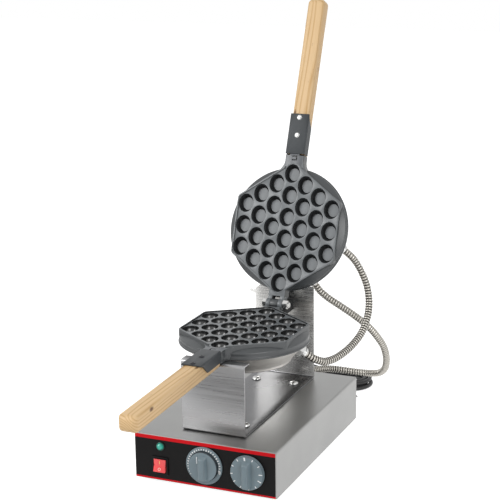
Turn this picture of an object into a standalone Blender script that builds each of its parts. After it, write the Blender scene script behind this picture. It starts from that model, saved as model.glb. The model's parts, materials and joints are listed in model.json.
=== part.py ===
"""Bubble waffle maker: two round cast moulds on a hinge, over a steel base with its controls.

Metres, +Z up. The origin lies on the table, under the middle of the machine without its leads.
The lower mould rests level on a bent steel stand. The upper mould leans open on the stand's back.
"""

import math

import bmesh
import bpy
import numpy as np
from mathutils import Matrix, Vector

# General fits
CLEARANCE = 0.0003
OVERRUN = 0.004
MERGE = 0.00001
SHARP_ANGLE = math.radians(35.0)
HEAD_SHARES = (0.62, 0.86, 0.40)

# Base box
BASE_WIDTH = 0.224
BASE_DEPTH = 0.342
BASE_HEIGHT = 0.070
BASE_SHEET = 0.0012
BASE_EDGE_RADIUS = 0.0025
BOTTOM_SHEET = 0.0012
FOOT_RADIUS = 0.010
FOOT_HEIGHT = 0.006
FOOT_INSET = 0.030
FOOT_CHAMFER = 0.0012

# Front panel and what it carries, measured from the middle of the base's lower front edge
PANEL_MARGIN = 0.0012
PANEL_THICKNESS = 0.001
LAMP_X = -0.308 * BASE_WIDTH
LAMP_Z = 0.054
LAMP_RADIUS = 0.0065
LAMP_BODY_RADIUS = 0.0050
LAMP_BODY_DEPTH = 0.020
LAMP_DOME = 0.0045
LAMP_DOME_SHARES = (0.52, 0.72, 0.88)
LAMP_FLANGE = 0.0015
ROCKER_X = -0.3125 * BASE_WIDTH
ROCKER_Z = 0.024
ROCKER_WIDTH = 0.0190
ROCKER_HEIGHT = 0.0194
ROCKER_CROWN = 0.0046
ROCKER_VALLEY = 0.0030
ROCKER_HEEL = 0.0045
ROCKER_HEEL_INSET = 0.0012
ROCKER_SWING = math.radians(18.0)
ROCKER_WALL = 0.0013
ROCKER_SIDE_GAP = 0.0005
ROCKER_RIM = 0.0016
ROCKER_FLANGE = 0.0016
ROCKER_BODY_DEPTH = 0.018
ROCKER_FLOOR = 0.003
TEMPERATURE_X = 0.001
TIMER_X = 0.308 * BASE_WIDTH
DIAL_Z = 0.035
TEMPERATURE_FLANGE_RADIUS = 0.0285
TEMPERATURE_DISC_RADIUS = 0.022
TIMER_FLANGE_RADIUS = 0.026
TIMER_DISC_RADIUS = 0.025
DIAL_FLANGE = 0.0025
DIAL_DISC_HEIGHT = 0.0055
TIMER_DISC_HEIGHT = 0.0035
DIAL_ROUNDING = 0.001
GRIP_WIDTH = 0.0085
GRIP_HEIGHT = 0.012
GRIP_LENGTH_SHARE = 1.72
GRIP_BEVEL = 0.0016
SPINDLE_RADIUS = 0.003
SPINDLE_IN_DIAL = 0.0065
SPINDLE_IN_CONTROL = 0.008
CONTROL_RADIUS = 0.019
THERMOSTAT_DEPTH = 0.024
TIMER_DEPTH = 0.034
CONTROL_NECK_RADIUS = 0.006
CONTROL_NECK = 0.002
TERMINAL_SIZE = (0.044, 0.022, 0.018)
TERMINAL_PLACE = (0.060, 0.250)

# Stand, one bent sheet
STAND_WIDTH = 0.100
STAND_SHEET = 0.002
STAND_FRONT = 0.0335
STAND_BACK = 0.312
STAND_BEND = 0.004
STAND_FLANGE = 0.018
STAND_CORNER_DROP = 0.011
STAND_CORNER_RUN = 0.013
STAND_EAR_REACH = 0.010
STAND_EAR_HEIGHT = 0.006
STAND_EAR_LIP = 0.004
STAND_EAR_SHARE = 0.9
STAND_BOLT_X = 0.032
STAND_BOLT_FRONT = 0.075
STAND_BOLT_BACK = 0.268
BOLT_RADIUS = 0.003
BOLT_HEAD_RADIUS = 0.0070
BOLT_HEAD_HEIGHT = 0.0042
BOLT_LENGTH = 0.012
NUT_RADIUS = 0.0062
NUT_HEIGHT = 0.005

# Hinge
HINGE_Y = 0.2705
HINGE_ABOVE_BASE = 0.1305
LEAN = math.radians(21.0)
HINGE_CLOSING = math.radians(90.0) + LEAN
HINGE_BARREL_RADIUS = 0.008
HINGE_PIN_RADIUS = 0.004
TONGUE_WIDTH = 0.0124
FORK_SLOT = 0.0130
FORK_WIDTH = 0.0270
HINGE_NECK_START = 0.012
HINGE_HEAD_RADIUS = 0.0072
HINGE_HEAD_HEIGHT = 0.0062
HINGE_NUT_HEIGHT = 0.0078
HINGE_PIN_END = 0.003
BLOCK_DROP = 0.0095
BLOCK_WIDTH = 0.028
BLOCK_BOLT_X = 0.008
BLOCK_BOLT_DEPTH = 0.014

# Moulds, in a frame with its origin on the mating plane, +Y to the hinge and +Z out of the face
MOULD_RADIUS = 0.098
MOULD_TO_HINGE = 0.1215
FACE_DROP = 0.004
MATING_GAP = 0.00015
LIP_WIDTH = 0.0025
HEX_HALF_WIDTH = 0.0875
HEX_SIDE_HALF = 0.0465
HEX_SLOPE_SHARE = 0.70
HEX_WALL = 0.0013
SHOULDER_RADIUS = 0.088
SHOULDER_EDGE_DROP = 0.0067
SHOULDER_RIM = 0.0010
MOULD_DEPTH = 0.0175
MOULD_PLATE = 0.0135
BEAD_HEIGHT = 0.002
BEAD_PROUD = 0.001
MOULD_WALL = 0.007
BOSS_RADIUS = 0.008
BOSS_DEPTH = 0.012
NECK_WIDTH = FORK_WIDTH + 2 * CLEARANCE
NECK_GRIP_WIDTH = 0.031
NECK_DROP = 0.0004
NECK_RISE = 0.0006
CUP_PITCH = 0.035
CUP_COLUMN_STEP = 0.02425
CUP_LENGTH = 0.0293
CUP_WIDTH = 0.0247
CUP_DEPTH = 0.0105
CUP_COLUMN_COUNTS = (3, 4, 5, 6, 5, 4, 3)
CUP_RING_SHARES = ((1.0, 0.0), (0.82, 0.76), (0.0, 1.0))
HEATER_RING_RADIUS = 0.055
HEATER_TUBE_RADIUS = 0.004
HEATER_GAP_ANGLE = math.radians(26.0)
HEATER_TERMINAL = 0.012

# Dish covers under the moulds
COVER_SHEET = 0.001
COVER_RIM_RADIUS = 0.093
COVER_CONE_RADIUS = 0.0726
COVER_CONE_DEPTH = 0.0245
COVER_BAND = 0.005
COVER_BOTTOM_RADIUS = 0.0705
COVER_SCREW_RADIUS = 0.003
COVER_SCREW_HEAD_RADIUS = 0.008
COVER_SCREW_HEAD = 0.004

# Hose fittings on the covers
FITTING_PLACE_RADIUS = 0.084
FITTING_LENGTH = 0.012
FITTING_RADIUS = 0.0075
FITTING_FLANGE_RADIUS = 0.0105
FITTING_FLANGE = 0.005
FITTING_ROOT = 0.016
FITTING_SIDE_AZIMUTH = math.radians(12.0)
FITTING_SIDE_EXIT = (math.radians(38.5), 0.80)
FITTING_BACK_AZIMUTH = math.radians(60.0)
FITTING_BACK_EXIT = (math.radians(54.0), 0.57)

# Sleeves and wooden handles
SLEEVE_SHEET = 0.0018
SLEEVE_START = 0.1195
SLEEVE_LENGTH = 0.065
SLEEVE_DROP = 0.0005
SLEEVE_SIDE = 0.0170
SLEEVE_TAB_BACK = 0.021
HANDLE_WIDTH = 0.028
HANDLE_THICKNESS = 0.024
HANDLE_LENGTH = 0.259
HANDLE_DROOP = math.radians(1.5)
HANDLE_END_ROUND = 0.007
HANDLE_EDGE_ROUND = 0.0022
TANG_WIDTH = 0.016
TANG_THICKNESS = 0.008
TANG_LENGTH = 0.040
SLEEVE_SCREW_PLACES = (0.030, 0.059)
SLEEVE_SCREW_RADIUS = 0.002
SLEEVE_SCREW_HEAD_RADIUS = 0.004
SLEEVE_SCREW_HEAD = 0.0008
SLEEVE_SCREW_LENGTH = 0.018
SLOT_PLACE = 0.1125
SLOT_SIZE = (0.007, 0.0018, 0.0015)

# Metal hoses
HOSE_RADIUS = 0.006
HOSE_GROOVE_SHARE = 0.86
HOSE_BORE_RADIUS = 0.0034
HOSE_BORE_STEP = 0.018
HOSE_END_STRAIGHT = 2 * HOSE_RADIUS
HOSE_RIB_PITCH = 0.0061
HOSE_GLAND_Z = 0.046
HOSE_GLAND_RADIUS = 0.0085
HOSE_GLAND_NUT_RADIUS = 0.0125
HOSE_GLAND_NUT = 0.008
HOSE_GLAND_LENGTH = 0.016
HOSE_GLAND_INSIDE = 0.010

# Mains lead
LEAD_RADIUS = 0.0035
LEAD_STEP = 0.014
LEAD_FROM_SIDE = 0.032
LEAD_X = LEAD_FROM_SIDE - BASE_WIDTH / 2
LEAD_Z = 0.022
GLAND_FLANGE_RADIUS = 0.0105
GLAND_FLANGE = 0.004
GLAND_BODY_RADIUS = 0.0070
GLAND_INSIDE = 0.009
RELIEF_LENGTH = 0.040
RELIEF_ROOT_RADIUS = 0.0068
RELIEF_TIP_RADIUS = 0.0046
HANK_CENTRE = (-0.005, 0.503)
HANK_RUN = 0.100
HANK_FOLD_RADIUS = 0.0213
HANK_STEP = 0.0085
HANK_LAYER = 0.0082
HANK_WAIST = 0.0125
HANK_TURNS_A_LAYER = 2
RUN_INTERVALS = 5
FOLD_INTERVALS = 7
TABLE_CLEARANCE = 0.0005
PLUG_PLACE = (0.015, 0.425)
PLUG_BODY = (0.036, 0.034, 0.021)
PLUG_BEVEL = 0.005
PLUG_NECK_LENGTH = 0.015
PLUG_NECK_RADII = (0.0085, 0.0052)
BLADE_SIZE = (0.015, 0.0016, 0.0064)
BLADE_SPREADS = (0.0068, 0.00765, 0.00765)

# Derived places
TABLE_Z = -FOOT_HEIGHT
HINGE_Z = BASE_HEIGHT + HINGE_ABOVE_BASE
MOULD_BOTTOM = -FACE_DROP - MOULD_DEPTH
PLATE_BACK = -FACE_DROP - MOULD_PLATE
COVER_TOP = MOULD_BOTTOM - CLEARANCE
COVER_CONE_END = COVER_TOP - COVER_CONE_DEPTH
COVER_BOTTOM = COVER_CONE_END - COVER_BAND
GRIP_DEPTH = SLEEVE_SHEET + HANDLE_THICKNESS + CLEARANCE
NECK_END = SLEEVE_START - CLEARANCE - GRIP_DEPTH * math.sin(HANDLE_DROOP)
STAND_FOOT_Z = BASE_HEIGHT + CLEARANCE
STAND_TOP = HINGE_Z + MOULD_BOTTOM - CLEARANCE

# Leads and hoses, in metres from the middle of the base's lower front edge
HOSE_PAIR_ROUTE = [
    (0.109, 0.197, 0.142), (0.117, 0.217, 0.140), (0.123, 0.237, 0.142), (0.128, 0.257, 0.146),
    (0.132, 0.277, 0.152), (0.135, 0.296, 0.160), (0.136, 0.314, 0.172), (0.135, 0.330, 0.186),
    (0.131, 0.343, 0.203), (0.124, 0.352, 0.222), (0.114, 0.356, 0.241), (0.103, 0.354, 0.260),
]
HOSE_BASE_ROUTE = [
    (0.001, 0.393, 0.044), (0.004, 0.417, 0.041), (0.012, 0.440, 0.038), (0.027, 0.462, 0.033),
    (0.051, 0.476, 0.028), (0.080, 0.479, 0.027), (0.107, 0.468, 0.034), (0.123, 0.452, 0.049),
    (0.131, 0.436, 0.067), (0.135, 0.421, 0.085), (0.135, 0.406, 0.105), (0.130, 0.391, 0.124),
    (0.122, 0.377, 0.142), (0.111, 0.364, 0.158), (0.097, 0.352, 0.173), (0.082, 0.341, 0.187),
    (0.066, 0.331, 0.201),
]
LEAD_ROUTE = [
    (-0.083, 0.410, 0.0150), (-0.091, 0.423, 0.005), (-0.0985, 0.436, -0.001),
    (-0.099, 0.448, -0.0020), (-0.091, 0.460, -0.0020),
]
TAIL_ROUTE = [
    (-0.0395, 0.4607, 0.0040), (-0.0270, 0.4490, 0.0000), (-0.0160, 0.4345, 0.001),
]


# Scene

for leftover in list(bpy.data.objects):
    bpy.data.objects.remove(leftover)

parts = bpy.data.collections.new("bubble_waffle_maker")
helpers = bpy.data.collections.new("cutters")
helpers.hide_render = True
bpy.context.scene.collection.children.link(parts)
bpy.context.scene.collection.children.link(helpers)


def material(name, colour, roughness, metallic=0.0):
    made = bpy.data.materials.new(name)
    made.use_nodes = True
    shader = made.node_tree.nodes["Principled BSDF"]
    shader.inputs["Base Color"].default_value = (*colour, 1.0)
    shader.inputs["Roughness"].default_value = roughness
    shader.inputs["Metallic"].default_value = metallic
    return made


STEEL = material("stainless_steel", (0.62, 0.62, 0.61), 0.22, 1.0)
COVER_STEEL = material("cover_steel", (0.68, 0.66, 0.63), 0.28, 1.0)
BOLT_STEEL = material("bolt_steel", (0.55, 0.55, 0.55), 0.3, 1.0)
HOSE_STEEL = material("hose_steel", (0.60, 0.60, 0.60), 0.3, 1.0)
BRASS = material("brass", (0.70, 0.55, 0.28), 0.35, 1.0)
IRON = material("cast_iron", (0.06, 0.065, 0.07), 0.55, 0.3)
SLEEVE_IRON = material("sleeve_iron", (0.10, 0.11, 0.12), 0.5, 0.6)
HEATER_STEEL = material("heater_steel", (0.25, 0.22, 0.20), 0.5, 1.0)
WOOD = material("wood", (0.62, 0.42, 0.22), 0.5)
PANEL_BLACK = material("panel_black", (0.02, 0.02, 0.02), 0.35)
BLACK_PLASTIC = material("black_plastic", (0.03, 0.03, 0.03), 0.45)
WHITE_PLASTIC = material("white_plastic", (0.75, 0.74, 0.70), 0.45)
DIAL_PLASTIC = material("dial_plastic", (0.24, 0.29, 0.33), 0.4)
ROCKER_RED = material("rocker_red", (0.70, 0.05, 0.07), 0.3)
LAMP_GREEN = material("lamp_green", (0.02, 0.35, 0.22), 0.15)
BLACK_RUBBER = material("black_rubber", (0.02, 0.02, 0.02), 0.7)


def empty(name, parent=None, location=(0, 0, 0), rotation=(0, 0, 0)):
    made = bpy.data.objects.new(name, None)
    made.location = location
    made.rotation_euler = rotation
    made.parent = parent
    parts.objects.link(made)
    return made


# The machine's frame has its origin in the middle of the base's lower front edge.
machine = empty("machine", location=(0, 0, FOOT_HEIGHT))
lower_frame = empty("lower_frame", machine, (0, HINGE_Y - MOULD_TO_HINGE, HINGE_Z))
hinge_frame = empty("hinge_frame", machine, (0, HINGE_Y, HINGE_Z), (-HINGE_CLOSING, 0, 0))
upper_frame = empty("upper_frame", hinge_frame, (0, -MOULD_TO_HINGE, 0), (0, math.pi, 0))
GRIP_PLACE = (0, -SLEEVE_START, -SLEEVE_DROP)
lower_grip = empty("lower_grip", lower_frame, GRIP_PLACE, (HANDLE_DROOP, 0, 0))
upper_grip = empty("upper_grip", upper_frame, GRIP_PLACE, (HANDLE_DROOP, 0, 0))
bpy.context.view_layer.update()


# Modelling tools

def finish(name, mesh, parent, look, location=(0, 0, 0), rotation=(0, 0, 0), smooth=False):
    """A named object of the mesh. Without a look it is a cutter."""
    made = bpy.data.objects.new(name, mesh)
    made.parent = parent
    made.location = location
    made.rotation_euler = rotation
    if look is None:
        helpers.objects.link(made)
        made.hide_render = True
        made.display_type = "WIRE"
    else:
        parts.objects.link(made)
        mesh.materials.append(look)
    if smooth:
        mesh.shade_smooth()
        mesh.set_sharp_from_angle(angle=SHARP_ANGLE)
    bpy.context.view_layer.update()
    return made


def block(name, size, centre, parent, look=None, rotation=(0, 0, 0)):
    mesh = bpy.data.meshes.new(name)
    shape = bmesh.new()
    bmesh.ops.create_cube(shape, size=1.0)
    bmesh.ops.scale(shape, vec=size, verts=shape.verts)
    shape.to_mesh(mesh)
    shape.free()
    return finish(name, mesh, parent, look, centre, rotation)


def rod(name, radius, length, centre, parent, look=None, rotation=(0, 0, 0), sides=16):
    """A cylinder, or a prism of few sides, along its own Z."""
    mesh = bpy.data.meshes.new(name)
    shape = bmesh.new()
    bmesh.ops.create_cone(
        shape, cap_ends=True, segments=sides, radius1=radius, radius2=radius, depth=length
    )
    shape.to_mesh(mesh)
    shape.free()
    return finish(name, mesh, parent, look, centre, rotation, smooth=sides > 8)


def turned(name, profile, parent, look=None, location=(0, 0, 0), rotation=(0, 0, 0), steps=24):
    """The profile, as (radius, height) down its outer side, turned about its own Z."""
    mesh = bpy.data.meshes.new(name)
    shape = bmesh.new()
    rings = [shape.verts.new((radius, 0, height)) for radius, height in profile]
    for first, second in zip(rings, rings[1:]):
        shape.edges.new((first, second))
    shape.to_mesh(mesh)
    shape.free()
    made = finish(name, mesh, parent, look, location, rotation)
    screw = made.modifiers.new("turn", "SCREW")
    screw.steps = steps
    screw.render_steps = steps
    screw.use_merge_vertices = True
    screw.merge_threshold = MERGE
    screw.use_smooth_shade = True
    return made


def as_mesh(made, look=None):
    """The object as it is drawn, as a plain mesh in the same place. The first object is removed."""
    graph = bpy.context.evaluated_depsgraph_get()
    mesh = bpy.data.meshes.new_from_object(made.evaluated_get(graph))
    shape = bmesh.new()
    shape.from_mesh(mesh)
    bmesh.ops.remove_doubles(shape, verts=shape.verts, dist=MERGE)
    bmesh.ops.recalc_face_normals(shape, faces=shape.faces)
    shape.to_mesh(mesh)
    shape.free()
    mesh.materials.clear()
    name, place, parent = made.name, made.matrix_world.copy(), made.parent
    bpy.data.objects.remove(made)
    new = finish(name, mesh, parent, look)
    new.matrix_world = place
    bpy.context.view_layer.update()
    return new


def cut(piece, cutter):
    change = piece.modifiers.new("cut_" + cutter.name, "BOOLEAN")
    change.operation = "DIFFERENCE"
    change.object = cutter


def join(piece, other):
    change = piece.modifiers.new("join_" + other.name, "BOOLEAN")
    change.operation = "UNION"
    change.object = other


def bevel(piece, width, segments=2, angle=math.radians(40.0)):
    change = piece.modifiers.new("bevel", "BEVEL")
    change.width = width
    change.segments = segments
    change.limit_method = "ANGLE"
    change.angle_limit = angle


def slab(name, points, thickness, parent, look=None, location=(0, 0, 0), rotation=(0, 0, 0)):
    """A flat outline in its own XY plane, with half its thickness on each side of it."""
    curve = bpy.data.curves.new(name, "CURVE")
    curve.dimensions = "2D"
    curve.fill_mode = "BOTH"
    curve.extrude = thickness / 2
    spline = curve.splines.new("POLY")
    spline.points.add(len(points) - 1)
    for point, place in zip(spline.points, points):
        point.co = (*place, 0, 1)
    spline.use_cyclic_u = True
    made = bpy.data.objects.new(name, curve)
    made.parent = parent
    made.location = location
    made.rotation_euler = rotation
    helpers.objects.link(made)
    bpy.context.view_layer.update()
    return as_mesh(made, look)


def tube(name, points, radius, parent, look=None, shares=None, resolution=2):
    """A tube along the points. Shares widen or narrow it at each of them."""
    curve = bpy.data.curves.new(name, "CURVE")
    curve.dimensions = "3D"
    curve.bevel_depth = radius
    curve.bevel_resolution = resolution
    curve.use_fill_caps = True
    spline = curve.splines.new("POLY")
    spline.points.add(len(points) - 1)
    for number, (point, place) in enumerate(zip(spline.points, points)):
        point.co = (*place, 1)
        point.radius = shares[number] if shares else 1.0
    made = bpy.data.objects.new(name, curve)
    made.parent = parent
    helpers.objects.link(made)
    bpy.context.view_layer.update()
    return as_mesh(made, look)


def arc(centre, radius, start, end, steps):
    """Points on an arc about the centre, in a plane, from one angle to another."""
    angles = np.linspace(start, end, steps + 1)
    return [(centre[0] + radius * math.cos(a), centre[1] + radius * math.sin(a)) for a in angles]


def inset(points, distance):
    """The convex outline, listed anticlockwise, with each side moved in by the distance."""
    corners = []
    count = len(points)
    for number in range(count):
        before = Vector(points[number - 1])
        corner = Vector(points[number])
        after = Vector(points[(number + 1) % count])
        first = (corner - before).normalized()
        second = (after - corner).normalized()
        first_in = Vector((-first.y, first.x))
        second_in = Vector((-second.y, second.x))
        reach = distance / (1 + first_in.dot(second_in))
        corners.append(tuple(corner + (first_in + second_in) * reach))
    return corners


def smooth_route(points, step):
    """Points along a smooth curve through the given ones, about a step apart, with straight ends."""
    knots = np.array(points, float)
    fine = [knots[0]]
    for number in range(len(knots) - 3):
        p0, p1, p2, p3 = knots[number:number + 4]
        t1 = np.linalg.norm(p1 - p0) ** 0.5
        t2 = t1 + np.linalg.norm(p2 - p1) ** 0.5
        t3 = t2 + np.linalg.norm(p3 - p2) ** 0.5
        for t in np.linspace(t1, t2, 24, endpoint=False):
            a1 = (t1 - t) / t1 * p0 + t / t1 * p1
            a2 = (t2 - t) / (t2 - t1) * p1 + (t - t1) / (t2 - t1) * p2
            a3 = (t3 - t) / (t3 - t2) * p2 + (t - t2) / (t3 - t2) * p3
            b1 = (t2 - t) / t2 * a1 + t / t2 * a2
            b2 = (t3 - t) / (t3 - t1) * a2 + (t - t1) / (t3 - t1) * a3
            fine.append((t2 - t) / (t2 - t1) * b1 + (t - t1) / (t2 - t1) * b2)
    fine = np.array(fine + [knots[-2], knots[-1]])
    travelled = np.concatenate([[0], np.cumsum(np.linalg.norm(np.diff(fine, axis=0), axis=1))])
    count = max(int(round(travelled[-1] / step)), 2)
    places = np.linspace(0, travelled[-1], count + 1)
    return [tuple(np.interp(place, travelled, fine[:, axis]) for axis in range(3))
            for place in places]


def length_of(points):
    return float(np.linalg.norm(np.diff(np.array(points), axis=0), axis=1).sum())


def in_machine(frame, place):
    """A place of the frame, given in the machine's frame."""
    return machine.matrix_world.inverted() @ (frame.matrix_world @ Vector(place))


# Base

FRONT = -PANEL_THICKNESS - CLEARANCE
FACING_FRONT = (math.pi / 2, 0, 0)
FACING_BACK = (-math.pi / 2, 0, 0)
# A rocker's outline has its X up and its Y out of the panel. A knuckle's has its X to the back, its Y up.
ROCKER_TURN = Matrix(((0, 0, 1), (0, -1, 0), (1, 0, 0))).to_euler()
KNUCKLE_TURN = Matrix(((0, 0, 1), (1, 0, 0), (0, 1, 0))).to_euler()


def base_shell():
    mesh = bpy.data.meshes.new("base_shell")
    shape = bmesh.new()
    bmesh.ops.create_cube(shape, size=1.0)
    bmesh.ops.scale(shape, vec=(BASE_WIDTH, BASE_DEPTH, BASE_HEIGHT), verts=shape.verts)
    bottom = min(shape.faces, key=lambda face: face.calc_center_median().z)
    bmesh.ops.delete(shape, geom=[bottom], context="FACES_ONLY")
    shape.to_mesh(mesh)
    shape.free()
    shell = finish("base_shell", mesh, machine, STEEL, (0, BASE_DEPTH / 2, BASE_HEIGHT / 2))
    bevel(shell, BASE_EDGE_RADIUS, 2)
    sheet = shell.modifiers.new("sheet", "SOLIDIFY")
    sheet.thickness = BASE_SHEET
    sheet.offset = -1
    return shell


def bottom_and_feet():
    half_width = BASE_WIDTH / 2 - BASE_SHEET - CLEARANCE - BASE_EDGE_RADIUS
    half_depth = BASE_DEPTH / 2 - BASE_SHEET - CLEARANCE - BASE_EDGE_RADIUS
    outline = []
    for quarter, (x, y) in enumerate(((1, 1), (-1, 1), (-1, -1), (1, -1))):
        start = quarter * math.pi / 2
        centre = (x * half_width, y * half_depth)
        outline += arc(centre, BASE_EDGE_RADIUS, start, start + math.pi / 2, 3)
    place = (0, BASE_DEPTH / 2, BOTTOM_SHEET / 2)
    slab("bottom_plate", outline, BOTTOM_SHEET, machine, STEEL, place)
    profile = [
        (0, -CLEARANCE), (FOOT_RADIUS, -CLEARANCE), (FOOT_RADIUS, FOOT_CHAMFER - FOOT_HEIGHT),
        (FOOT_RADIUS - FOOT_CHAMFER, -FOOT_HEIGHT), (0, -FOOT_HEIGHT),
    ]
    number = 0
    for y in (FOOT_INSET, BASE_DEPTH - FOOT_INSET):
        for x in (FOOT_INSET - BASE_WIDTH / 2, BASE_WIDTH / 2 - FOOT_INSET):
            number += 1
            turned(f"rubber_foot_{number}", profile, machine, BLACK_RUBBER, (x, y, 0), steps=16)


def front_panel():
    size = (BASE_WIDTH - 2 * PANEL_MARGIN, PANEL_THICKNESS, BASE_HEIGHT - 2 * PANEL_MARGIN)
    place = (0, FRONT + PANEL_THICKNESS / 2, BASE_HEIGHT / 2)
    return block("front_panel", size, place, machine, PANEL_BLACK)


def front_hole(name, x, z, radius, pieces):
    depth = PANEL_THICKNESS + BASE_SHEET + 2 * OVERRUN
    hole = rod(name, radius, depth, (x, 0, z), machine, rotation=FACING_FRONT, sides=12)
    for piece in pieces:
        cut(piece, hole)


def indicator_lamp():
    foot = FRONT - CLEARANCE
    narrow, high, wide = LAMP_DOME_SHARES
    profile = [
        (0, LAMP_DOME + LAMP_FLANGE), (LAMP_RADIUS * narrow, LAMP_FLANGE + LAMP_DOME * high),
        (LAMP_RADIUS * wide, LAMP_FLANGE), (LAMP_RADIUS, LAMP_FLANGE), (LAMP_RADIUS, 0),
        (LAMP_BODY_RADIUS, 0), (LAMP_BODY_RADIUS, -LAMP_BODY_DEPTH), (0, -LAMP_BODY_DEPTH),
    ]
    turned("indicator_lamp", profile, machine, LAMP_GREEN, (LAMP_X, foot, LAMP_Z), FACING_FRONT, 16)


def rocker_switch(pieces):
    """A frame clipped in the panel, and a rocker on a pivot in the panel's plane, at on."""
    pocket_width = ROCKER_WIDTH + 2 * ROCKER_SIDE_GAP
    lean = ROCKER_SWING / 2
    tallest = ROCKER_HEIGHT * math.cos(lean) + 2 * ROCKER_CROWN * math.sin(lean)
    pocket_height = tallest + 2 * ROCKER_SIDE_GAP
    body_width = pocket_width + 2 * ROCKER_WALL
    body_height = pocket_height + 2 * ROCKER_WALL
    hole_depth = PANEL_THICKNESS + BASE_SHEET + 2 * OVERRUN
    hole_size = (body_width + 2 * CLEARANCE, hole_depth, body_height + 2 * CLEARANCE)
    hole = block("rocker_hole", hole_size, (ROCKER_X, 0, ROCKER_Z), machine)
    for piece in pieces:
        cut(piece, hole)
    front = FRONT - CLEARANCE
    flange_size = (body_width + 2 * ROCKER_RIM, ROCKER_FLANGE, body_height + 2 * ROCKER_RIM)
    flange_place = (ROCKER_X, front - ROCKER_FLANGE / 2, ROCKER_Z)
    frame = block("rocker_frame", flange_size, flange_place, machine, BLACK_PLASTIC)
    body_size = (body_width, ROCKER_BODY_DEPTH + ROCKER_FLANGE / 2, body_height)
    body_place = (ROCKER_X, front + body_size[1] / 2 - ROCKER_FLANGE / 2, ROCKER_Z)
    join(frame, block("rocker_body", body_size, body_place, machine))
    pocket_depth = ROCKER_BODY_DEPTH - ROCKER_FLOOR + ROCKER_FLANGE + OVERRUN
    pocket_place = (ROCKER_X, front - ROCKER_FLANGE - OVERRUN + pocket_depth / 2, ROCKER_Z)
    pocket_size = (pocket_width, pocket_depth, pocket_height)
    cut(frame, block("rocker_pocket", pocket_size, pocket_place, machine))
    half = ROCKER_HEIGHT / 2
    outline = [
        (-half, ROCKER_CROWN), (-half + ROCKER_HEEL_INSET, -ROCKER_HEEL / 2), (0, -ROCKER_HEEL),
        (half - ROCKER_HEEL_INSET, -ROCKER_HEEL / 2), (half, ROCKER_CROWN), (0, ROCKER_VALLEY),
    ]
    pivot = empty("rocker_pivot", machine, (ROCKER_X, front, ROCKER_Z), (-lean, 0, 0))
    slab("rocker", outline, ROCKER_WIDTH, pivot, ROCKER_RED, rotation=ROCKER_TURN)


def control(name, x, depth, pieces):
    """A switch body behind the panel and the spindle that comes out of it."""
    back_of_shell = BASE_SHEET + CLEARANCE
    hole_radius = SPINDLE_RADIUS + CLEARANCE
    bore = SPINDLE_IN_CONTROL
    profile = [
        (0, -bore), (hole_radius, -bore), (hole_radius, 0), (CONTROL_NECK_RADIUS, 0),
        (CONTROL_NECK_RADIUS, -CONTROL_NECK), (CONTROL_RADIUS, -CONTROL_NECK),
        (CONTROL_RADIUS, -depth), (0, -depth),
    ]
    place = (x, back_of_shell, DIAL_Z)
    turned(name + "_body", profile, machine, BLACK_PLASTIC, place, FACING_FRONT, 16)
    front_hole(name + "_hole", x, DIAL_Z, hole_radius, pieces)
    start = FRONT - CLEARANCE - SPINDLE_IN_DIAL + CLEARANCE
    end = back_of_shell + bore - CLEARANCE
    place = (x, (start + end) / 2, DIAL_Z)
    rod(name + "_spindle", SPINDLE_RADIUS, end - start, place, machine, BRASS, FACING_FRONT)


def dial(name, x, flange_radius, disc_radius, disc_height):
    """A knob on its spindle, turned about its own Z, with a bar across it to grip."""
    hole_radius = SPINDLE_RADIUS + CLEARANCE
    top = DIAL_FLANGE + disc_height
    profile = [
        (0, top), (disc_radius - DIAL_ROUNDING, top), (disc_radius, top - DIAL_ROUNDING),
        (disc_radius, DIAL_FLANGE), (flange_radius - DIAL_ROUNDING, DIAL_FLANGE),
        (flange_radius, DIAL_FLANGE - DIAL_ROUNDING), (flange_radius, 0), (0, 0),
    ]
    place = (x, FRONT - CLEARANCE, DIAL_Z)
    knob = turned(name, profile, machine, DIAL_PLASTIC, place, FACING_FRONT, 30)
    size = (GRIP_WIDTH, disc_radius * GRIP_LENGTH_SHARE, GRIP_HEIGHT - DIAL_FLANGE)
    grip = block(name + "_grip", size, (0, 0, DIAL_FLANGE + size[2] / 2), knob)
    bevel(grip, GRIP_BEVEL)
    join(knob, grip)
    reach = SPINDLE_IN_DIAL + CLEARANCE + OVERRUN
    cut(knob, rod(name + "_bore", hole_radius, reach, (0, 0, reach / 2 - OVERRUN), knob))


def terminal_block():
    x, y = TERMINAL_PLACE
    z = BOTTOM_SHEET + CLEARANCE + TERMINAL_SIZE[2] / 2
    block("terminal_block", TERMINAL_SIZE, (x, y, z), machine, WHITE_PLASTIC)


def lead_gland(shell):
    radius = GLAND_BODY_RADIUS
    hole = rod("gland_hole", radius + CLEARANCE, BASE_SHEET + 2 * OVERRUN,
               (LEAD_X, BASE_DEPTH, LEAD_Z), machine, rotation=FACING_FRONT)
    cut(shell, hole)
    profile = [
        (0, RELIEF_LENGTH), (RELIEF_TIP_RADIUS, RELIEF_LENGTH), (RELIEF_ROOT_RADIUS, GLAND_FLANGE),
        (GLAND_FLANGE_RADIUS, GLAND_FLANGE), (GLAND_FLANGE_RADIUS, 0), (radius, 0),
        (radius, -GLAND_INSIDE), (0, -GLAND_INSIDE),
    ]
    place = (LEAD_X, BASE_DEPTH + CLEARANCE, LEAD_Z)
    turned("cord_gland", profile, machine, BLACK_RUBBER, place, FACING_BACK, 16)


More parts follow.
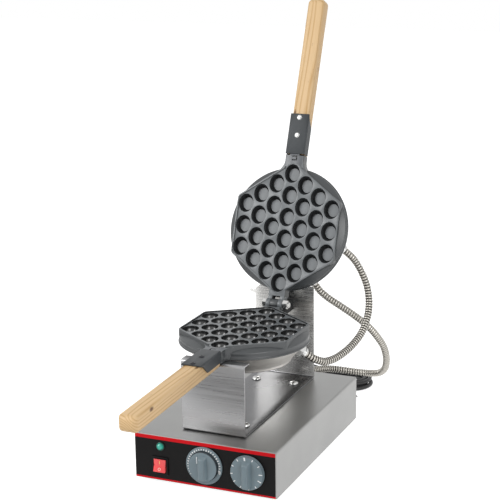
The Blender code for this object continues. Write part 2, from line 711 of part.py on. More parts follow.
def hose_gland(shell):
    radius = HOSE_GLAND_RADIUS
    hole = rod("hose_gland_hole", radius + CLEARANCE, BASE_SHEET + 2 * OVERRUN,
               (0, BASE_DEPTH, HOSE_GLAND_Z), machine, rotation=FACING_FRONT)
    cut(shell, hole)
    place = (0, BASE_DEPTH + CLEARANCE + HOSE_GLAND_NUT / 2, HOSE_GLAND_Z)
    gland = rod("base_hose_gland", HOSE_GLAND_NUT_RADIUS, HOSE_GLAND_NUT, place, machine,
                BOLT_STEEL, FACING_BACK, 6)
    length = HOSE_GLAND_INSIDE + HOSE_GLAND_LENGTH
    middle = (0, 0, HOSE_GLAND_LENGTH - HOSE_GLAND_NUT / 2 - length / 2)
    join(gland, rod("hose_gland_barrel", radius, length, middle, gland))


# Stand

def cover_cone_height(y):
    """How high the open cover's cone is over a place behind the hinge, on the machine's middle."""
    rim = in_machine(upper_frame, (0, COVER_RIM_RADIUS, COVER_TOP))
    foot = in_machine(upper_frame, (0, COVER_CONE_RADIUS, COVER_CONE_END))
    share = (y - rim.y) / (foot.y - rim.y)
    return rim.z + share * (foot.z - rim.z)


def stand_bracket(shell):
    top = STAND_TOP
    rear_top = cover_cone_height(STAND_BACK - STAND_SHEET) - CLEARANCE
    bend = STAND_BEND
    front, back, foot = STAND_FRONT, STAND_BACK, STAND_FOOT_Z
    side = [(front + STAND_FLANGE, top)]
    side += arc((front + bend, top - bend), bend, math.pi / 2, math.pi, 4)
    side += arc((front + bend, foot + bend), bend, math.pi, 1.5 * math.pi, 4)
    side += arc((back - bend, foot + bend), bend, 1.5 * math.pi, 2 * math.pi, 4)
    side += [(back, rear_top)]
    mesh = bpy.data.meshes.new("stand_bracket")
    shape = bmesh.new()
    left = [shape.verts.new((-STAND_WIDTH / 2, y, z)) for y, z in side]
    right = [shape.verts.new((STAND_WIDTH / 2, y, z)) for y, z in side]
    for number in range(len(side) - 1):
        corners = (left[number], left[number + 1], right[number + 1], right[number])
        shape.faces.new(corners)
    shape.to_mesh(mesh)
    shape.free()
    stand = finish("stand_bracket", mesh, machine, STEEL, smooth=True)
    sheet = stand.modifiers.new("sheet", "SOLIDIFY")
    sheet.thickness = STAND_SHEET
    sheet.offset = -1
    sheet.use_even_offset = True
    half = STAND_WIDTH / 2
    corner = [
        (-half - OVERRUN, rear_top - STAND_CORNER_DROP), (-half, rear_top - STAND_CORNER_DROP),
        (-half + STAND_CORNER_RUN, rear_top), (-half + STAND_CORNER_RUN, rear_top + OVERRUN),
        (-half - OVERRUN, rear_top + OVERRUN),
    ]
    middle = (0, back - STAND_SHEET / 2, 0)
    depth = STAND_SHEET + 2 * OVERRUN
    cut(stand, slab("stand_corner", corner, depth, machine, None, middle, FACING_FRONT))
    ear_top = rear_top - STAND_CORNER_DROP - STAND_EAR_LIP
    tip = -half - STAND_EAR_REACH
    ear = [
        (-half + OVERRUN, ear_top - STAND_EAR_HEIGHT), (-half + OVERRUN, ear_top),
        (tip, ear_top + STAND_EAR_LIP / 2), (tip, ear_top - STAND_EAR_LIP / 2),
    ]
    depth = STAND_SHEET * STAND_EAR_SHARE
    join(stand, slab("stand_ear", ear, depth, machine, None, middle, FACING_FRONT))
    bolt_hole_length = STAND_SHEET + BASE_SHEET + 2 * OVERRUN
    number = 0
    for y in (STAND_BOLT_FRONT, STAND_BOLT_BACK):
        for x in (-STAND_BOLT_X, STAND_BOLT_X):
            number += 1
            hole = rod(f"stand_bolt_hole_{number}", BOLT_RADIUS + CLEARANCE, bolt_hole_length,
                       (x, y, foot), machine, sides=12)
            cut(stand, hole)
            cut(shell, hole)
            stand_bolt(number, x, y)
    return stand


def domed_bolt(length):
    """The side view of a bolt with a low domed head, from its head down."""
    head, height = BOLT_HEAD_RADIUS, BOLT_HEAD_HEIGHT
    crown, shoulder, brim = HEAD_SHARES
    return [
        (0, height), (head * crown, height * shoulder), (head, height * brim), (head, 0),
        (BOLT_RADIUS, 0), (BOLT_RADIUS, -length), (0, -length),
    ]


def stand_bolt(number, x, y):
    """A domed bolt through the stand and the base's top, and the nut under it."""
    place = (x, y, STAND_FOOT_Z + STAND_SHEET + CLEARANCE)
    turned(f"stand_bolt_{number}", domed_bolt(BOLT_LENGTH), machine, BOLT_STEEL, place, steps=12)
    place = (x, y, BASE_HEIGHT - BASE_SHEET - CLEARANCE - NUT_HEIGHT / 2)
    name = f"stand_nut_{number}"
    nut = rod(name, NUT_RADIUS, NUT_HEIGHT, place, machine, BOLT_STEEL, sides=6)
    bore = NUT_HEIGHT + 2 * OVERRUN
    cut(nut, rod(name + "_bore", BOLT_RADIUS + CLEARANCE, bore, place, machine, sides=12))


# Moulds

def hexagon():
    """The mould's six-sided outline, with its points on the middle line, listed anticlockwise."""
    half, side = HEX_HALF_WIDTH, HEX_SIDE_HALF
    point = side + half * HEX_SLOPE_SHARE
    return [(half, -side), (half, side), (0, point), (-half, side), (-half, -side), (0, -point)]


def cup_centres():
    middle = len(CUP_COLUMN_COUNTS) // 2
    centres = []
    for column, count in enumerate(CUP_COLUMN_COUNTS):
        x = (column - middle) * CUP_COLUMN_STEP
        for row in range(count):
            centres.append((x, (row - (count - 1) / 2) * CUP_PITCH))
    return centres


def cup_cutters(name, parent):
    """All the cups of one mould, as one cutter of oval bowls."""
    radius = CUP_WIDTH / 2
    profile = [(0, OVERRUN), (radius, OVERRUN)]
    profile += [(radius * wide, -CUP_DEPTH * deep) for wide, deep in CUP_RING_SHARES]
    bowl = as_mesh(turned(name + "_one", profile, None, steps=10))
    bowl.data.transform(Matrix.Diagonal((1, CUP_LENGTH / CUP_WIDTH, 1, 1)))
    mesh = bpy.data.meshes.new(name)
    shape = bmesh.new()
    for x, y in cup_centres():
        shape.from_mesh(bowl.data)
        bmesh.ops.translate(shape, vec=(x, y, -FACE_DROP), verts=shape.verts[-len(bowl.data.vertices):])
    shape.to_mesh(mesh)
    shape.free()
    bpy.data.objects.remove(bowl)
    return finish(name, mesh, parent, None)


def neck_outline(reach):
    """Side view of a hinge knuckle, as (towards the hinge, out of the face) about the pin."""
    low = MOULD_BOTTOM + 2 * NECK_RISE
    outline = [(-reach, -MATING_GAP - 2 * NECK_DROP), (-reach, low)]
    start = math.atan2(-HINGE_BARREL_RADIUS, 0)
    outline += arc((0, 0), HINGE_BARREL_RADIUS, start, math.pi / 2, 8)
    outline += arc((0, 0), HINGE_BARREL_RADIUS, math.pi / 2, math.pi, 4)[1:]
    return outline


def knuckle(name, x, width, frame, reach):
    """A slab of the knuckle's side view, at a place across the hinge, bored for the pin."""
    place = (x, MOULD_TO_HINGE, 0)
    leaf = slab(name, neck_outline(reach), width, frame, None, place, KNUCKLE_TURN)
    cut(leaf, rod(name + "_bore", HINGE_PIN_RADIUS + CLEARANCE, width + 2 * OVERRUN, place, frame,
                  rotation=(0, math.pi / 2, 0)))
    return as_mesh(leaf)


def mould(side, frame, grip):
    """One cast mould: a round body under a six-sided face, with a neck at each end."""
    name = side + "_mould"
    wall = MOULD_RADIUS
    bead = wall + BEAD_PROUD
    face = -FACE_DROP
    top = face - HEX_WALL
    shoulder = face - SHOULDER_EDGE_DROP
    bottom = MOULD_BOTTOM
    profile = [
        (0, top), (SHOULDER_RADIUS, top), (wall - SHOULDER_RIM, shoulder), (wall, shoulder - SHOULDER_RIM),
        (wall, bottom + BEAD_HEIGHT), (bead, bottom + BEAD_HEIGHT - BEAD_PROUD), (bead, bottom),
        (wall - MOULD_WALL, bottom), (wall - MOULD_WALL, PLATE_BACK), (BOSS_RADIUS, PLATE_BACK),
        (BOSS_RADIUS, PLATE_BACK - BOSS_DEPTH), (0, PLATE_BACK - BOSS_DEPTH),
    ]
    body = turned(name, profile, frame, IRON, steps=30)
    low = shoulder - SHOULDER_RIM
    high = -MATING_GAP
    plate = slab(name + "_plate", hexagon(), high - low, frame, None, (0, 0, (high + low) / 2))
    join(body, plate)
    point = HEX_SIDE_HALF + HEX_HALF_WIDTH * HEX_SLOPE_SHARE
    neck_top = high - NECK_DROP
    neck_bottom = bottom + NECK_RISE
    neck_height = neck_top - neck_bottom
    neck_middle = (neck_top + neck_bottom) / 2
    inner = HEX_SIDE_HALF + HEX_HALF_WIDTH * HEX_SLOPE_SHARE / 2
    length = MOULD_TO_HINGE - HINGE_NECK_START - inner
    place = (0, inner + length / 2, neck_middle)
    join(body, block(name + "_hinge_neck", (NECK_WIDTH, length, neck_height), place, frame))
    length = NECK_END - inner
    place = (0, -inner - length / 2, neck_middle)
    grip_neck = block(name + "_grip_neck", (NECK_GRIP_WIDTH, length, neck_height), place, frame)
    join(body, grip_neck)
    reach = HINGE_NECK_START + OVERRUN
    if side == "upper":
        leaf = (FORK_WIDTH - FORK_SLOT) / 2
        for hand in (-1, 1):
            x = hand * (FORK_SLOT + leaf) / 2
            join(body, knuckle(f"{name}_fork_{hand + 2}", x, leaf, frame, reach))
    else:
        join(body, knuckle(name + "_tongue", 0, TONGUE_WIDTH, frame, reach))
        back = STAND_BACK - STAND_SHEET - CLEARANCE
        start = HINGE_Y - HINGE_NECK_START - OVERRUN
        height = -BLOCK_DROP - bottom - 2 * NECK_RISE
        place = in_machine(frame, (0, 0, 0))
        centre = (0, (start + back) / 2 - place.y, -BLOCK_DROP - height / 2)
        join(body, block(name + "_block", (BLOCK_WIDTH, back - start, height), centre, frame))
    tang_length = TANG_LENGTH + OVERRUN
    tang_top = -SLEEVE_SHEET - CLEARANCE
    tang_place = (0, OVERRUN - tang_length / 2, tang_top - TANG_THICKNESS / 2)
    join(body, block(name + "_tang", (TANG_WIDTH, tang_length, TANG_THICKNESS), tang_place, grip))
    cut(body, slab(name + "_pocket", inset(hexagon(), LIP_WIDTH), FACE_DROP + OVERRUN, frame, None,
                   (0, 0, face + (FACE_DROP + OVERRUN) / 2)))
    cut(body, cup_cutters(name + "_cups", frame))
    bore_top = PLATE_BACK - CLEARANCE
    bore_end = PLATE_BACK - BOSS_DEPTH - OVERRUN
    cut(body, rod(name + "_boss_bore", COVER_SCREW_RADIUS + CLEARANCE, bore_top - bore_end,
                  (0, 0, (bore_top + bore_end) / 2), frame, sides=12))
    cut(body, block(name + "_slot", SLOT_SIZE[:2] + (2 * SLOT_SIZE[2],), (0, -SLOT_PLACE, high), frame))
    return body


def heater(side, frame):
    """A tube bent in a ring against the mould's back, with its two ends turned down."""
    z = PLATE_BACK - CLEARANCE - HEATER_TUBE_RADIUS
    ring = arc((0, 0), HEATER_RING_RADIUS, HEATER_GAP_ANGLE / 2, 2 * math.pi - HEATER_GAP_ANGLE / 2, 20)
    points = [(x, y, z) for x, y in ring]
    first = (*ring[0], z - HEATER_TERMINAL)
    last = (*ring[-1], z - HEATER_TERMINAL)
    tube(side + "_heater", [first] + points + [last], HEATER_TUBE_RADIUS, frame, HEATER_STEEL,
         resolution=1)


def cover(side, frame):
    """A dish of sheet under the mould, held by one screw in the mould's boss."""
    sheet = COVER_SHEET
    slope = math.atan2(COVER_CONE_DEPTH, COVER_RIM_RADIUS - COVER_CONE_RADIUS)
    inside = sheet / math.sin(slope)
    hole = COVER_SCREW_RADIUS + CLEARANCE
    lean = (COVER_CONE_RADIUS - COVER_BOTTOM_RADIUS) / COVER_BAND
    floor = COVER_BOTTOM + sheet
    profile = [
        (COVER_RIM_RADIUS - inside, COVER_TOP), (COVER_RIM_RADIUS, COVER_TOP),
        (COVER_CONE_RADIUS, COVER_CONE_END), (COVER_BOTTOM_RADIUS, COVER_BOTTOM), (hole, COVER_BOTTOM),
        (hole, floor), (COVER_BOTTOM_RADIUS - sheet + lean * sheet, floor),
        (COVER_CONE_RADIUS - inside, COVER_CONE_END), (COVER_RIM_RADIUS - inside, COVER_TOP),
    ]
    turned(side + "_cover", profile, frame, COVER_STEEL, steps=32)
    head = COVER_SCREW_HEAD_RADIUS
    top = PLATE_BACK - 2 * CLEARANCE
    under = COVER_BOTTOM - CLEARANCE
    screw = [
        (0, top), (COVER_SCREW_RADIUS, top), (COVER_SCREW_RADIUS, under), (head, under),
        (head, under - COVER_SCREW_HEAD * HEAD_SHARES[2]), (head * HEAD_SHARES[0], under - COVER_SCREW_HEAD),
        (0, under - COVER_SCREW_HEAD),
    ]
    turned(side + "_cover_screw", screw, frame, BOLT_STEEL, steps=12)


def cone_point(azimuth):
    """A place on the cover's cone, on the circle where the fittings sit."""
    share = (COVER_RIM_RADIUS - FITTING_PLACE_RADIUS) / (COVER_RIM_RADIUS - COVER_CONE_RADIUS)
    z = COVER_TOP - share * COVER_CONE_DEPTH
    return Vector((FITTING_PLACE_RADIUS * math.cos(azimuth), FITTING_PLACE_RADIUS * math.sin(azimuth), z))


def fitting(name, frame, azimuth, way_out, mirrored=False):
    """A hose fitting on the cover. It gives its outer end and its direction, in the machine's frame."""
    azimuth_out, drop = way_out
    place = cone_point(azimuth)
    way = Vector((math.cos(azimuth_out), math.sin(azimuth_out), -drop)).normalized()
    if mirrored:
        place.x, way.x = -place.x, -way.x
    turn = way.to_track_quat("Z", "Y").to_euler()
    profile = [
        (0, FITTING_LENGTH), (FITTING_RADIUS, FITTING_LENGTH), (FITTING_RADIUS, FITTING_FLANGE),
        (FITTING_FLANGE_RADIUS, FITTING_FLANGE), (FITTING_FLANGE_RADIUS, -FITTING_ROOT), (0, -FITTING_ROOT),
    ]
    body = turned(name, profile, frame, BOLT_STEEL, place, turn, 16)
    gap = CLEARANCE
    high = COVER_TOP + FITTING_ROOT + FITTING_FLANGE_RADIUS
    outside = [
        (0, high), (COVER_RIM_RADIUS + gap, high), (COVER_RIM_RADIUS + gap, COVER_TOP),
        (COVER_CONE_RADIUS + gap, COVER_CONE_END), (COVER_BOTTOM_RADIUS + gap, COVER_BOTTOM),
        (0, COVER_BOTTOM),
    ]
    cut(body, turned(name + "_seat", outside, frame, steps=32))
    end = in_machine(frame, place + way * (FITTING_LENGTH + CLEARANCE))
    ahead = in_machine(frame, place + way * (FITTING_LENGTH + CLEARANCE + HOSE_END_STRAIGHT))
    return end, ahead


# Sleeves and handles

def sleeve(side, grip):
    """A channel of sheet over the handle's root, its sides cut back to a point."""
    width = HANDLE_WIDTH + 2 * (SLEEVE_SHEET + CLEARANCE)
    name = side + "_sleeve"
    place = (0, -SLEEVE_LENGTH / 2, -SLEEVE_SIDE / 2)
    channel = block(name, (width, SLEEVE_LENGTH, SLEEVE_SIDE), place, grip, SLEEVE_IRON)
    inner_width = HANDLE_WIDTH + 2 * CLEARANCE
    depth = SLEEVE_SIDE - SLEEVE_SHEET + OVERRUN
    length = SLEEVE_LENGTH + 2 * OVERRUN
    place = (0, -SLEEVE_LENGTH / 2, -SLEEVE_SHEET - depth / 2)
    cut(channel, block(name + "_inside", (inner_width, length, depth), place, grip))
    corner = [
        (-SLEEVE_LENGTH - OVERRUN, -SLEEVE_SHEET), (-SLEEVE_LENGTH + CLEARANCE, -SLEEVE_SHEET),
        (-SLEEVE_LENGTH + SLEEVE_TAB_BACK, -SLEEVE_SIDE - CLEARANCE),
        (-SLEEVE_LENGTH + SLEEVE_TAB_BACK, -SLEEVE_SIDE - OVERRUN),
        (-SLEEVE_LENGTH - OVERRUN, -SLEEVE_SIDE - OVERRUN),
    ]
    cut(channel, slab(name + "_corner", corner, width + 2 * OVERRUN, grip, None, rotation=KNUCKLE_TURN))
    return channel


def handle(side, grip):
    """A wooden bar, grooved for the mould's tang, with rounded edges and a rounder end."""
    name = side + "_handle"
    mesh = bpy.data.meshes.new(name)
    shape = bmesh.new()
    bmesh.ops.create_cube(shape, size=1.0)
    bmesh.ops.scale(shape, vec=(HANDLE_WIDTH, HANDLE_LENGTH, HANDLE_THICKNESS), verts=shape.verts)
    tip = [edge for edge in shape.edges if all(corner.co.y < 0 for corner in edge.verts)]
    bmesh.ops.bevel(shape, geom=tip, offset=HANDLE_END_ROUND, segments=3, profile=0.5, affect="EDGES")
    shape.to_mesh(mesh)
    shape.free()
    top = -SLEEVE_SHEET - CLEARANCE
    place = (0, -CLEARANCE - HANDLE_LENGTH / 2, top - HANDLE_THICKNESS / 2)
    bar = finish(name, mesh, grip, WOOD, place)
    bevel(bar, HANDLE_EDGE_ROUND, 2, math.radians(60.0))
    reach = CLEARANCE + OVERRUN
    size = (TANG_WIDTH + 2 * CLEARANCE, TANG_LENGTH + reach, TANG_THICKNESS + reach)
    centre = (0, OVERRUN - size[1] / 2, top - TANG_THICKNESS - CLEARANCE + size[2] / 2)
    cut(bar, block(name + "_groove", size, centre, grip))
    return bar


def sleeve_screws(side, grip, pieces):
    radius = SLEEVE_SCREW_RADIUS
    head = SLEEVE_SCREW_HEAD_RADIUS
    for number, reach in enumerate(SLEEVE_SCREW_PLACES, 1):
        profile = [
            (0, SLEEVE_SCREW_HEAD), (head * HEAD_SHARES[1], SLEEVE_SCREW_HEAD), (head, 0), (radius, 0),
            (radius, -SLEEVE_SCREW_LENGTH), (0, -SLEEVE_SCREW_LENGTH),
        ]
        name = f"{side}_sleeve_screw_{number}"
        turned(name, profile, grip, BOLT_STEEL, (0, -reach, CLEARANCE), steps=12)
        length = SLEEVE_SCREW_LENGTH + OVERRUN
        hole = rod(name + "_hole", radius + CLEARANCE, length, (0, -reach, OVERRUN - length / 2), grip,
                   sides=12)
        for piece in pieces:
            cut(piece, hole)


def hinge_pin():
    """The pin with its hexagon head, the nut on its end, and the bolts that hold the block."""
    along_x = (0, math.pi / 2, 0)
    half = FORK_WIDTH / 2 + CLEARANCE
    end = half + HINGE_NUT_HEIGHT + HINGE_PIN_END + CLEARANCE
    place = (-half - HINGE_HEAD_HEIGHT / 2, HINGE_Y, HINGE_Z)
    pin = rod("hinge_bolt", HINGE_HEAD_RADIUS, HINGE_HEAD_HEIGHT, place, machine, BOLT_STEEL, along_x, 6)
    start = -half - HINGE_HEAD_HEIGHT / 2
    join(pin, rod("hinge_shank", HINGE_PIN_RADIUS, end - start, ((start + end) / 2, HINGE_Y, HINGE_Z),
                  machine, rotation=along_x))
    place = (half + HINGE_NUT_HEIGHT / 2, HINGE_Y, HINGE_Z)
    nut = rod("hinge_nut", HINGE_HEAD_RADIUS, HINGE_NUT_HEIGHT, place, machine, BOLT_STEEL, along_x, 6)
    cut(nut, rod("hinge_nut_bore", HINGE_PIN_RADIUS + CLEARANCE, HINGE_NUT_HEIGHT + 2 * OVERRUN, place,
                 machine, rotation=along_x))


def block_bolts(stand, lower):
    z = HINGE_Z + (-BLOCK_DROP + MOULD_BOTTOM) / 2
    for number, x in enumerate((-BLOCK_BOLT_X, BLOCK_BOLT_X), 1):
        profile = domed_bolt(STAND_SHEET + BLOCK_BOLT_DEPTH)
        place = (x, STAND_BACK + CLEARANCE, z)
        turned(f"block_bolt_{number}", profile, machine, BOLT_STEEL, place, FACING_BACK, 12)
        length = STAND_SHEET + BLOCK_BOLT_DEPTH + 2 * CLEARANCE + OVERRUN
        middle = (x, STAND_BACK + OVERRUN - length / 2, z)
        hole = rod(f"block_bolt_hole_{number}", BOLT_RADIUS + CLEARANCE, length, middle, machine,
                   rotation=FACING_BACK, sides=12)
        cut(stand, hole)
        cut(lower, hole)


# Hoses and the mains lead

def hose(name, start, route, end):
    """A ribbed metal hose with its bore, straight where it leaves its fittings."""
    (first, first_ahead), (last, last_ahead) = start, end
    points = [first, first_ahead] + [Vector(place) for place in route] + [last_ahead, last]
    ribs = smooth_route(points, HOSE_RIB_PITCH / 2)
    shares = [HOSE_GROOVE_SHARE if number % 2 else 1.0 for number in range(len(ribs))]
    body = tube(name, ribs, HOSE_RADIUS, machine, HOSE_STEEL, shares)
    core = [tuple(place) for place in smooth_route(points, HOSE_BORE_STEP)]
    before = Vector(core[0]) + (first - first_ahead).normalized() * OVERRUN
    after = Vector(core[-1]) + (last - last_ahead).normalized() * OVERRUN
    cut(body, tube(name + "_bore", [before] + core[1:-1] + [after], HOSE_BORE_RADIUS, machine))
    print(name, "is", round(length_of(ribs), 4), "m long, with", len(ribs) // 2, "ribs")


def hank_points():
    """The hank's loops in layers: each spirals in or out by a step a turn, and is drawn in at its waist."""
    half = HANK_RUN / 2
    turns = 2 * HANK_TURNS_A_LAYER
    intervals = 2 * (RUN_INTERVALS + FOLD_INTERVALS)
    rise = RUN_INTERVALS / intervals
    points = []
    for number in range(turns * intervals + 1):
        turn = number / intervals
        phase = number % intervals
        spread = HANK_FOLD_RADIUS + HANK_STEP * abs(HANK_TURNS_A_LAYER - turn)
        climbed = min(max((turn - HANK_TURNS_A_LAYER) / rise, 0), 1)
        flip = 1 if phase < intervals / 2 else -1
        step = phase % (intervals // 2)
        if step <= RUN_INTERVALS:
            x = -half + HANK_RUN * step / RUN_INTERVALS
            pinch = HANK_WAIST * math.cos(math.pi * x / HANK_RUN) ** 2
            y = pinch - spread
        else:
            angle = math.pi * (step - RUN_INTERVALS) / FOLD_INTERVALS - math.pi / 2
            x = half + spread * math.cos(angle)
            y = spread * math.sin(angle)
        z = TABLE_Z + TABLE_CLEARANCE + LEAD_RADIUS + HANK_LAYER * climbed
        points.append((HANK_CENTRE[0] + flip * x, HANK_CENTRE[1] + flip * y, z))
    return points


def least_gap(points, radius, apart):
    """The least space between stretches of the tube that lie more than so far apart along it."""
    path = np.array(points, float)
    fine = []
    for first, second in zip(path, path[1:]):
        fine += [first + (second - first) * share for share in np.linspace(0, 1, 6, endpoint=False)]
    fine = np.array(fine + [path[-1]])
    along = np.concatenate([[0], np.cumsum(np.linalg.norm(np.diff(fine, axis=0), axis=1))])
    gaps = np.linalg.norm(fine[:, None] - fine[None], axis=2)
    gaps[np.abs(along[:, None] - along[None]) < apart] = np.inf
    return float(gaps.min()) - 2 * radius


def mains_lead():
    """The lead from its gland to the hank, the hank with its tail, and the plug."""
    gland_end = BASE_DEPTH + CLEARANCE + RELIEF_LENGTH + CLEARANCE
    loops = hank_points()
    straight = Vector((LEAD_STEP, 0, 0))
    hank_start = Vector(loops[0]) - straight
    lead_end = hank_start - Vector((CLEARANCE, 0, 0))
    free = [Vector((LEAD_X, gland_end, LEAD_Z)), Vector((LEAD_X, gland_end + LEAD_STEP, LEAD_Z))]
    free += [Vector(place) for place in LEAD_ROUTE]
    free += [lead_end - straight, lead_end]
    lead = smooth_route(free, LEAD_STEP)
    tube("power_cord", lead, LEAD_RADIUS, machine, BLACK_RUBBER)
    plug_z = TABLE_Z + TABLE_CLEARANCE + PLUG_BODY[2] / 2
    plug_end = Vector((*PLUG_PLACE, plug_z))
    tail = [Vector(loops[-2]), Vector(loops[-1])] + [Vector(place) for place in TAIL_ROUTE]
    tail += [plug_end - straight, plug_end]
    whole = [tuple(hank_start)] + loops[:-2] + smooth_route(tail, LEAD_STEP)
    tube("cord_hank", whole, LEAD_RADIUS, machine, BLACK_RUBBER, resolution=1)
    plug(plug_end + Vector((CLEARANCE, 0, 0)))
    total = length_of(lead) + length_of(whole)
    gap = least_gap(loops, LEAD_RADIUS, 5 * LEAD_RADIUS)
    print("mains lead", round(total, 4), "m long, least gap between loops", round(gap, 5), "m")


def plug(neck_end):
    """An earthed plug with flat blades, lying on the table, its cord entry towards -X."""
    tip, root = PLUG_NECK_RADII[1], PLUG_NECK_RADII[0]
    length, width, height = PLUG_BODY
    middle = neck_end + Vector((PLUG_NECK_LENGTH + length / 2, 0, 0))
    body = block("power_plug", PLUG_BODY, middle, machine, BLACK_RUBBER)
    bevel(body, PLUG_BEVEL, 3)
    profile = [
        (0, PLUG_NECK_LENGTH + PLUG_BEVEL), (root, PLUG_NECK_LENGTH + PLUG_BEVEL),
        (root, PLUG_NECK_LENGTH), (tip, 0), (0, 0),
    ]
    join(body, turned("plug_neck", profile, machine, None, neck_end, (0, math.pi / 2, 0), 16))
    for number, turn in enumerate((0, 2 * math.pi / 3, -2 * math.pi / 3), 1):
        reach = BLADE_SIZE[0] + OVERRUN
        centre = middle + Vector((length / 2 + reach / 2 - OVERRUN, 0, 0))
        centre += Vector((0, math.sin(turn), math.cos(turn))) * BLADE_SPREADS[number - 1]
        blade = block(f"plug_blade_{number}", (reach, *BLADE_SIZE[1:]), centre, machine, None,
                      (-turn, 0, 0))
        join(body, blade)


# The whole machine

def centre_on_origin():
    """Puts the machine's middle, from front handle tip to back handle tip, over the origin."""
    graph = bpy.context.evaluated_depsgraph_get()
    reach = []
    for name in ("lower_handle", "upper_handle"):
        bar = bpy.data.objects[name]
        mesh = bar.evaluated_get(graph).to_mesh()
        reach += [(bar.matrix_world @ corner.co).y for corner in mesh.vertices]
        bar.evaluated_get(graph).to_mesh_clear()
    machine.location.y = -(min(reach) + max(reach)) / 2
    bpy.context.view_layer.update()
    print("base front at y =", round(machine.location.y, 6), "m")


def main():
    shell = base_shell()
    bottom_and_feet()
    panel = front_panel()
    through = (panel, shell)
    front_hole("lamp_hole", LAMP_X, LAMP_Z, LAMP_BODY_RADIUS + CLEARANCE, through)
    indicator_lamp()
    rocker_switch(through)
    control("thermostat", TEMPERATURE_X, THERMOSTAT_DEPTH, through)
    control("timer", TIMER_X, TIMER_DEPTH, through)
    dial("temperature_knob", TEMPERATURE_X, TEMPERATURE_FLANGE_RADIUS, TEMPERATURE_DISC_RADIUS,
         DIAL_DISC_HEIGHT)
    dial("timer_knob", TIMER_X, TIMER_FLANGE_RADIUS, TIMER_DISC_RADIUS, TIMER_DISC_HEIGHT)
    terminal_block()
    lead_gland(shell)
    hose_gland(shell)
    stand = stand_bracket(shell)
    moulds = {}
    for side, frame, grip in (("lower", lower_frame, lower_grip), ("upper", upper_frame, upper_grip)):
        moulds[side] = mould(side, frame, grip)
        heater(side, frame)
        cover(side, frame)
        channel = sleeve(side, grip)
        bar = handle(side, grip)
        sleeve_screws(side, grip, (channel, bar, moulds[side]))
    hinge_pin()
    block_bolts(stand, moulds["lower"])
    low_side = fitting("lower_hose_fitting", lower_frame, FITTING_SIDE_AZIMUTH, FITTING_SIDE_EXIT)
    high_side = fitting("upper_hose_fitting_1", upper_frame, FITTING_SIDE_AZIMUTH, FITTING_SIDE_EXIT, True)
    high_back = fitting("upper_hose_fitting_2", upper_frame, FITTING_BACK_AZIMUTH, FITTING_BACK_EXIT, True)
    hose("hose_between_moulds", low_side, HOSE_PAIR_ROUTE, high_side)
    gland = Vector((0, BASE_DEPTH + 2 * CLEARANCE + HOSE_GLAND_LENGTH, HOSE_GLAND_Z))
    from_base = (gland, gland + Vector((0, HOSE_END_STRAIGHT, 0)))
    hose("hose_to_base", from_base, HOSE_BASE_ROUTE, high_back)
    mains_lead()
    centre_on_origin()


main()
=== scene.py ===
"""Bubble waffle maker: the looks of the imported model, in metres, in the frame of its solids.

Each piece is made in its own frame: the machine's, with its origin in the middle of the base's lower
front edge, or a mould's, with its origin on the mating plane, +Y to the hinge and +Z out of the face.
"""

import json
import math

import bmesh
import bpy
import numpy as np
from mathutils import Matrix, Vector


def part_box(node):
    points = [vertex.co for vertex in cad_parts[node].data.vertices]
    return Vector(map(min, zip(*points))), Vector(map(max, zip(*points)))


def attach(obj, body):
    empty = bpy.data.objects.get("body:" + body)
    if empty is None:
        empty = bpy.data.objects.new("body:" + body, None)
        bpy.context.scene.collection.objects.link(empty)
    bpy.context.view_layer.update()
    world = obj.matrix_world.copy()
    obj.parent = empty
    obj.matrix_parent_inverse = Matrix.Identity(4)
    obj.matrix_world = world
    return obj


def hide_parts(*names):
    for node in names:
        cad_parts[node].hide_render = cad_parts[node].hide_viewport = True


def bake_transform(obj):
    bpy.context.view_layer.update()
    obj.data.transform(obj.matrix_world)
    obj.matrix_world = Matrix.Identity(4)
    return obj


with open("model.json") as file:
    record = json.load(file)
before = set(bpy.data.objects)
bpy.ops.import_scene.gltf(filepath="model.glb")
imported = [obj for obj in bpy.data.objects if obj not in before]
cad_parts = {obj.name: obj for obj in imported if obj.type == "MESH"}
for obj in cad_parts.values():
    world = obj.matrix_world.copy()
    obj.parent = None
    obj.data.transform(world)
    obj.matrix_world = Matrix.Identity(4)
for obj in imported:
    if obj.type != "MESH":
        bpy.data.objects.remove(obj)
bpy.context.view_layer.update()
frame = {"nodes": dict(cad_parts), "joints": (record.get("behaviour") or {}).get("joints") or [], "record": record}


def moved(x, y, z):
    return Matrix.Translation((x, y, z))


def turned(angle, axis):
    return Matrix.Rotation(angle, 4, axis)


# Bodies and frames

ROOT = "base_and_lower_half"
UPPER = "upper_mould_half"
BODIES = frame["record"]["behaviour"]["bodies"]
BODY_OF = {node: body for body, nodes in BODIES.items() for node in nodes}
FOOT_HEIGHT = 0.006
BASE_LOW, BASE_HIGH = (Vector(corner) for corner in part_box("base_shell"))
JOINTS = {joint["name"]: joint for joint in frame["joints"]}
HINGE = Vector(JOINTS["upper_mould_hinge"]["pos_m"])
HINGE_CLOSING = math.radians(111.0)
MOULD_TO_HINGE = 0.1215
MACHINE = moved(0, BASE_LOW.y, FOOT_HEIGHT)
TO_MACHINE = MACHINE.inverted()
LOWER = Matrix.Translation(HINGE - Vector((0, MOULD_TO_HINGE, 0)))
UPPER_PLACE = Matrix.Translation(HINGE) @ turned(-HINGE_CLOSING, "X")
UPPER_PLACE = UPPER_PLACE @ moved(0, -MOULD_TO_HINGE, 0) @ turned(math.pi, "Y")
SIDES = {"lower": (LOWER, ROOT), "upper": (UPPER_PLACE, UPPER)}
SLEEVE_START = 0.1195
SLEEVE_DROP = 0.0005
HANDLE_DROOP = math.radians(1.5)
GRIP = moved(0, -SLEEVE_START, -SLEEVE_DROP) @ turned(HANDLE_DROOP, "X")
Z_OUT_OF_FRONT = turned(math.pi / 2, "X")
Z_OUT_OF_BACK = turned(-math.pi / 2, "X")
Z_ALONG_X = Matrix(((0, 0, 1), (1, 0, 0), (0, 1, 0))).to_4x4()

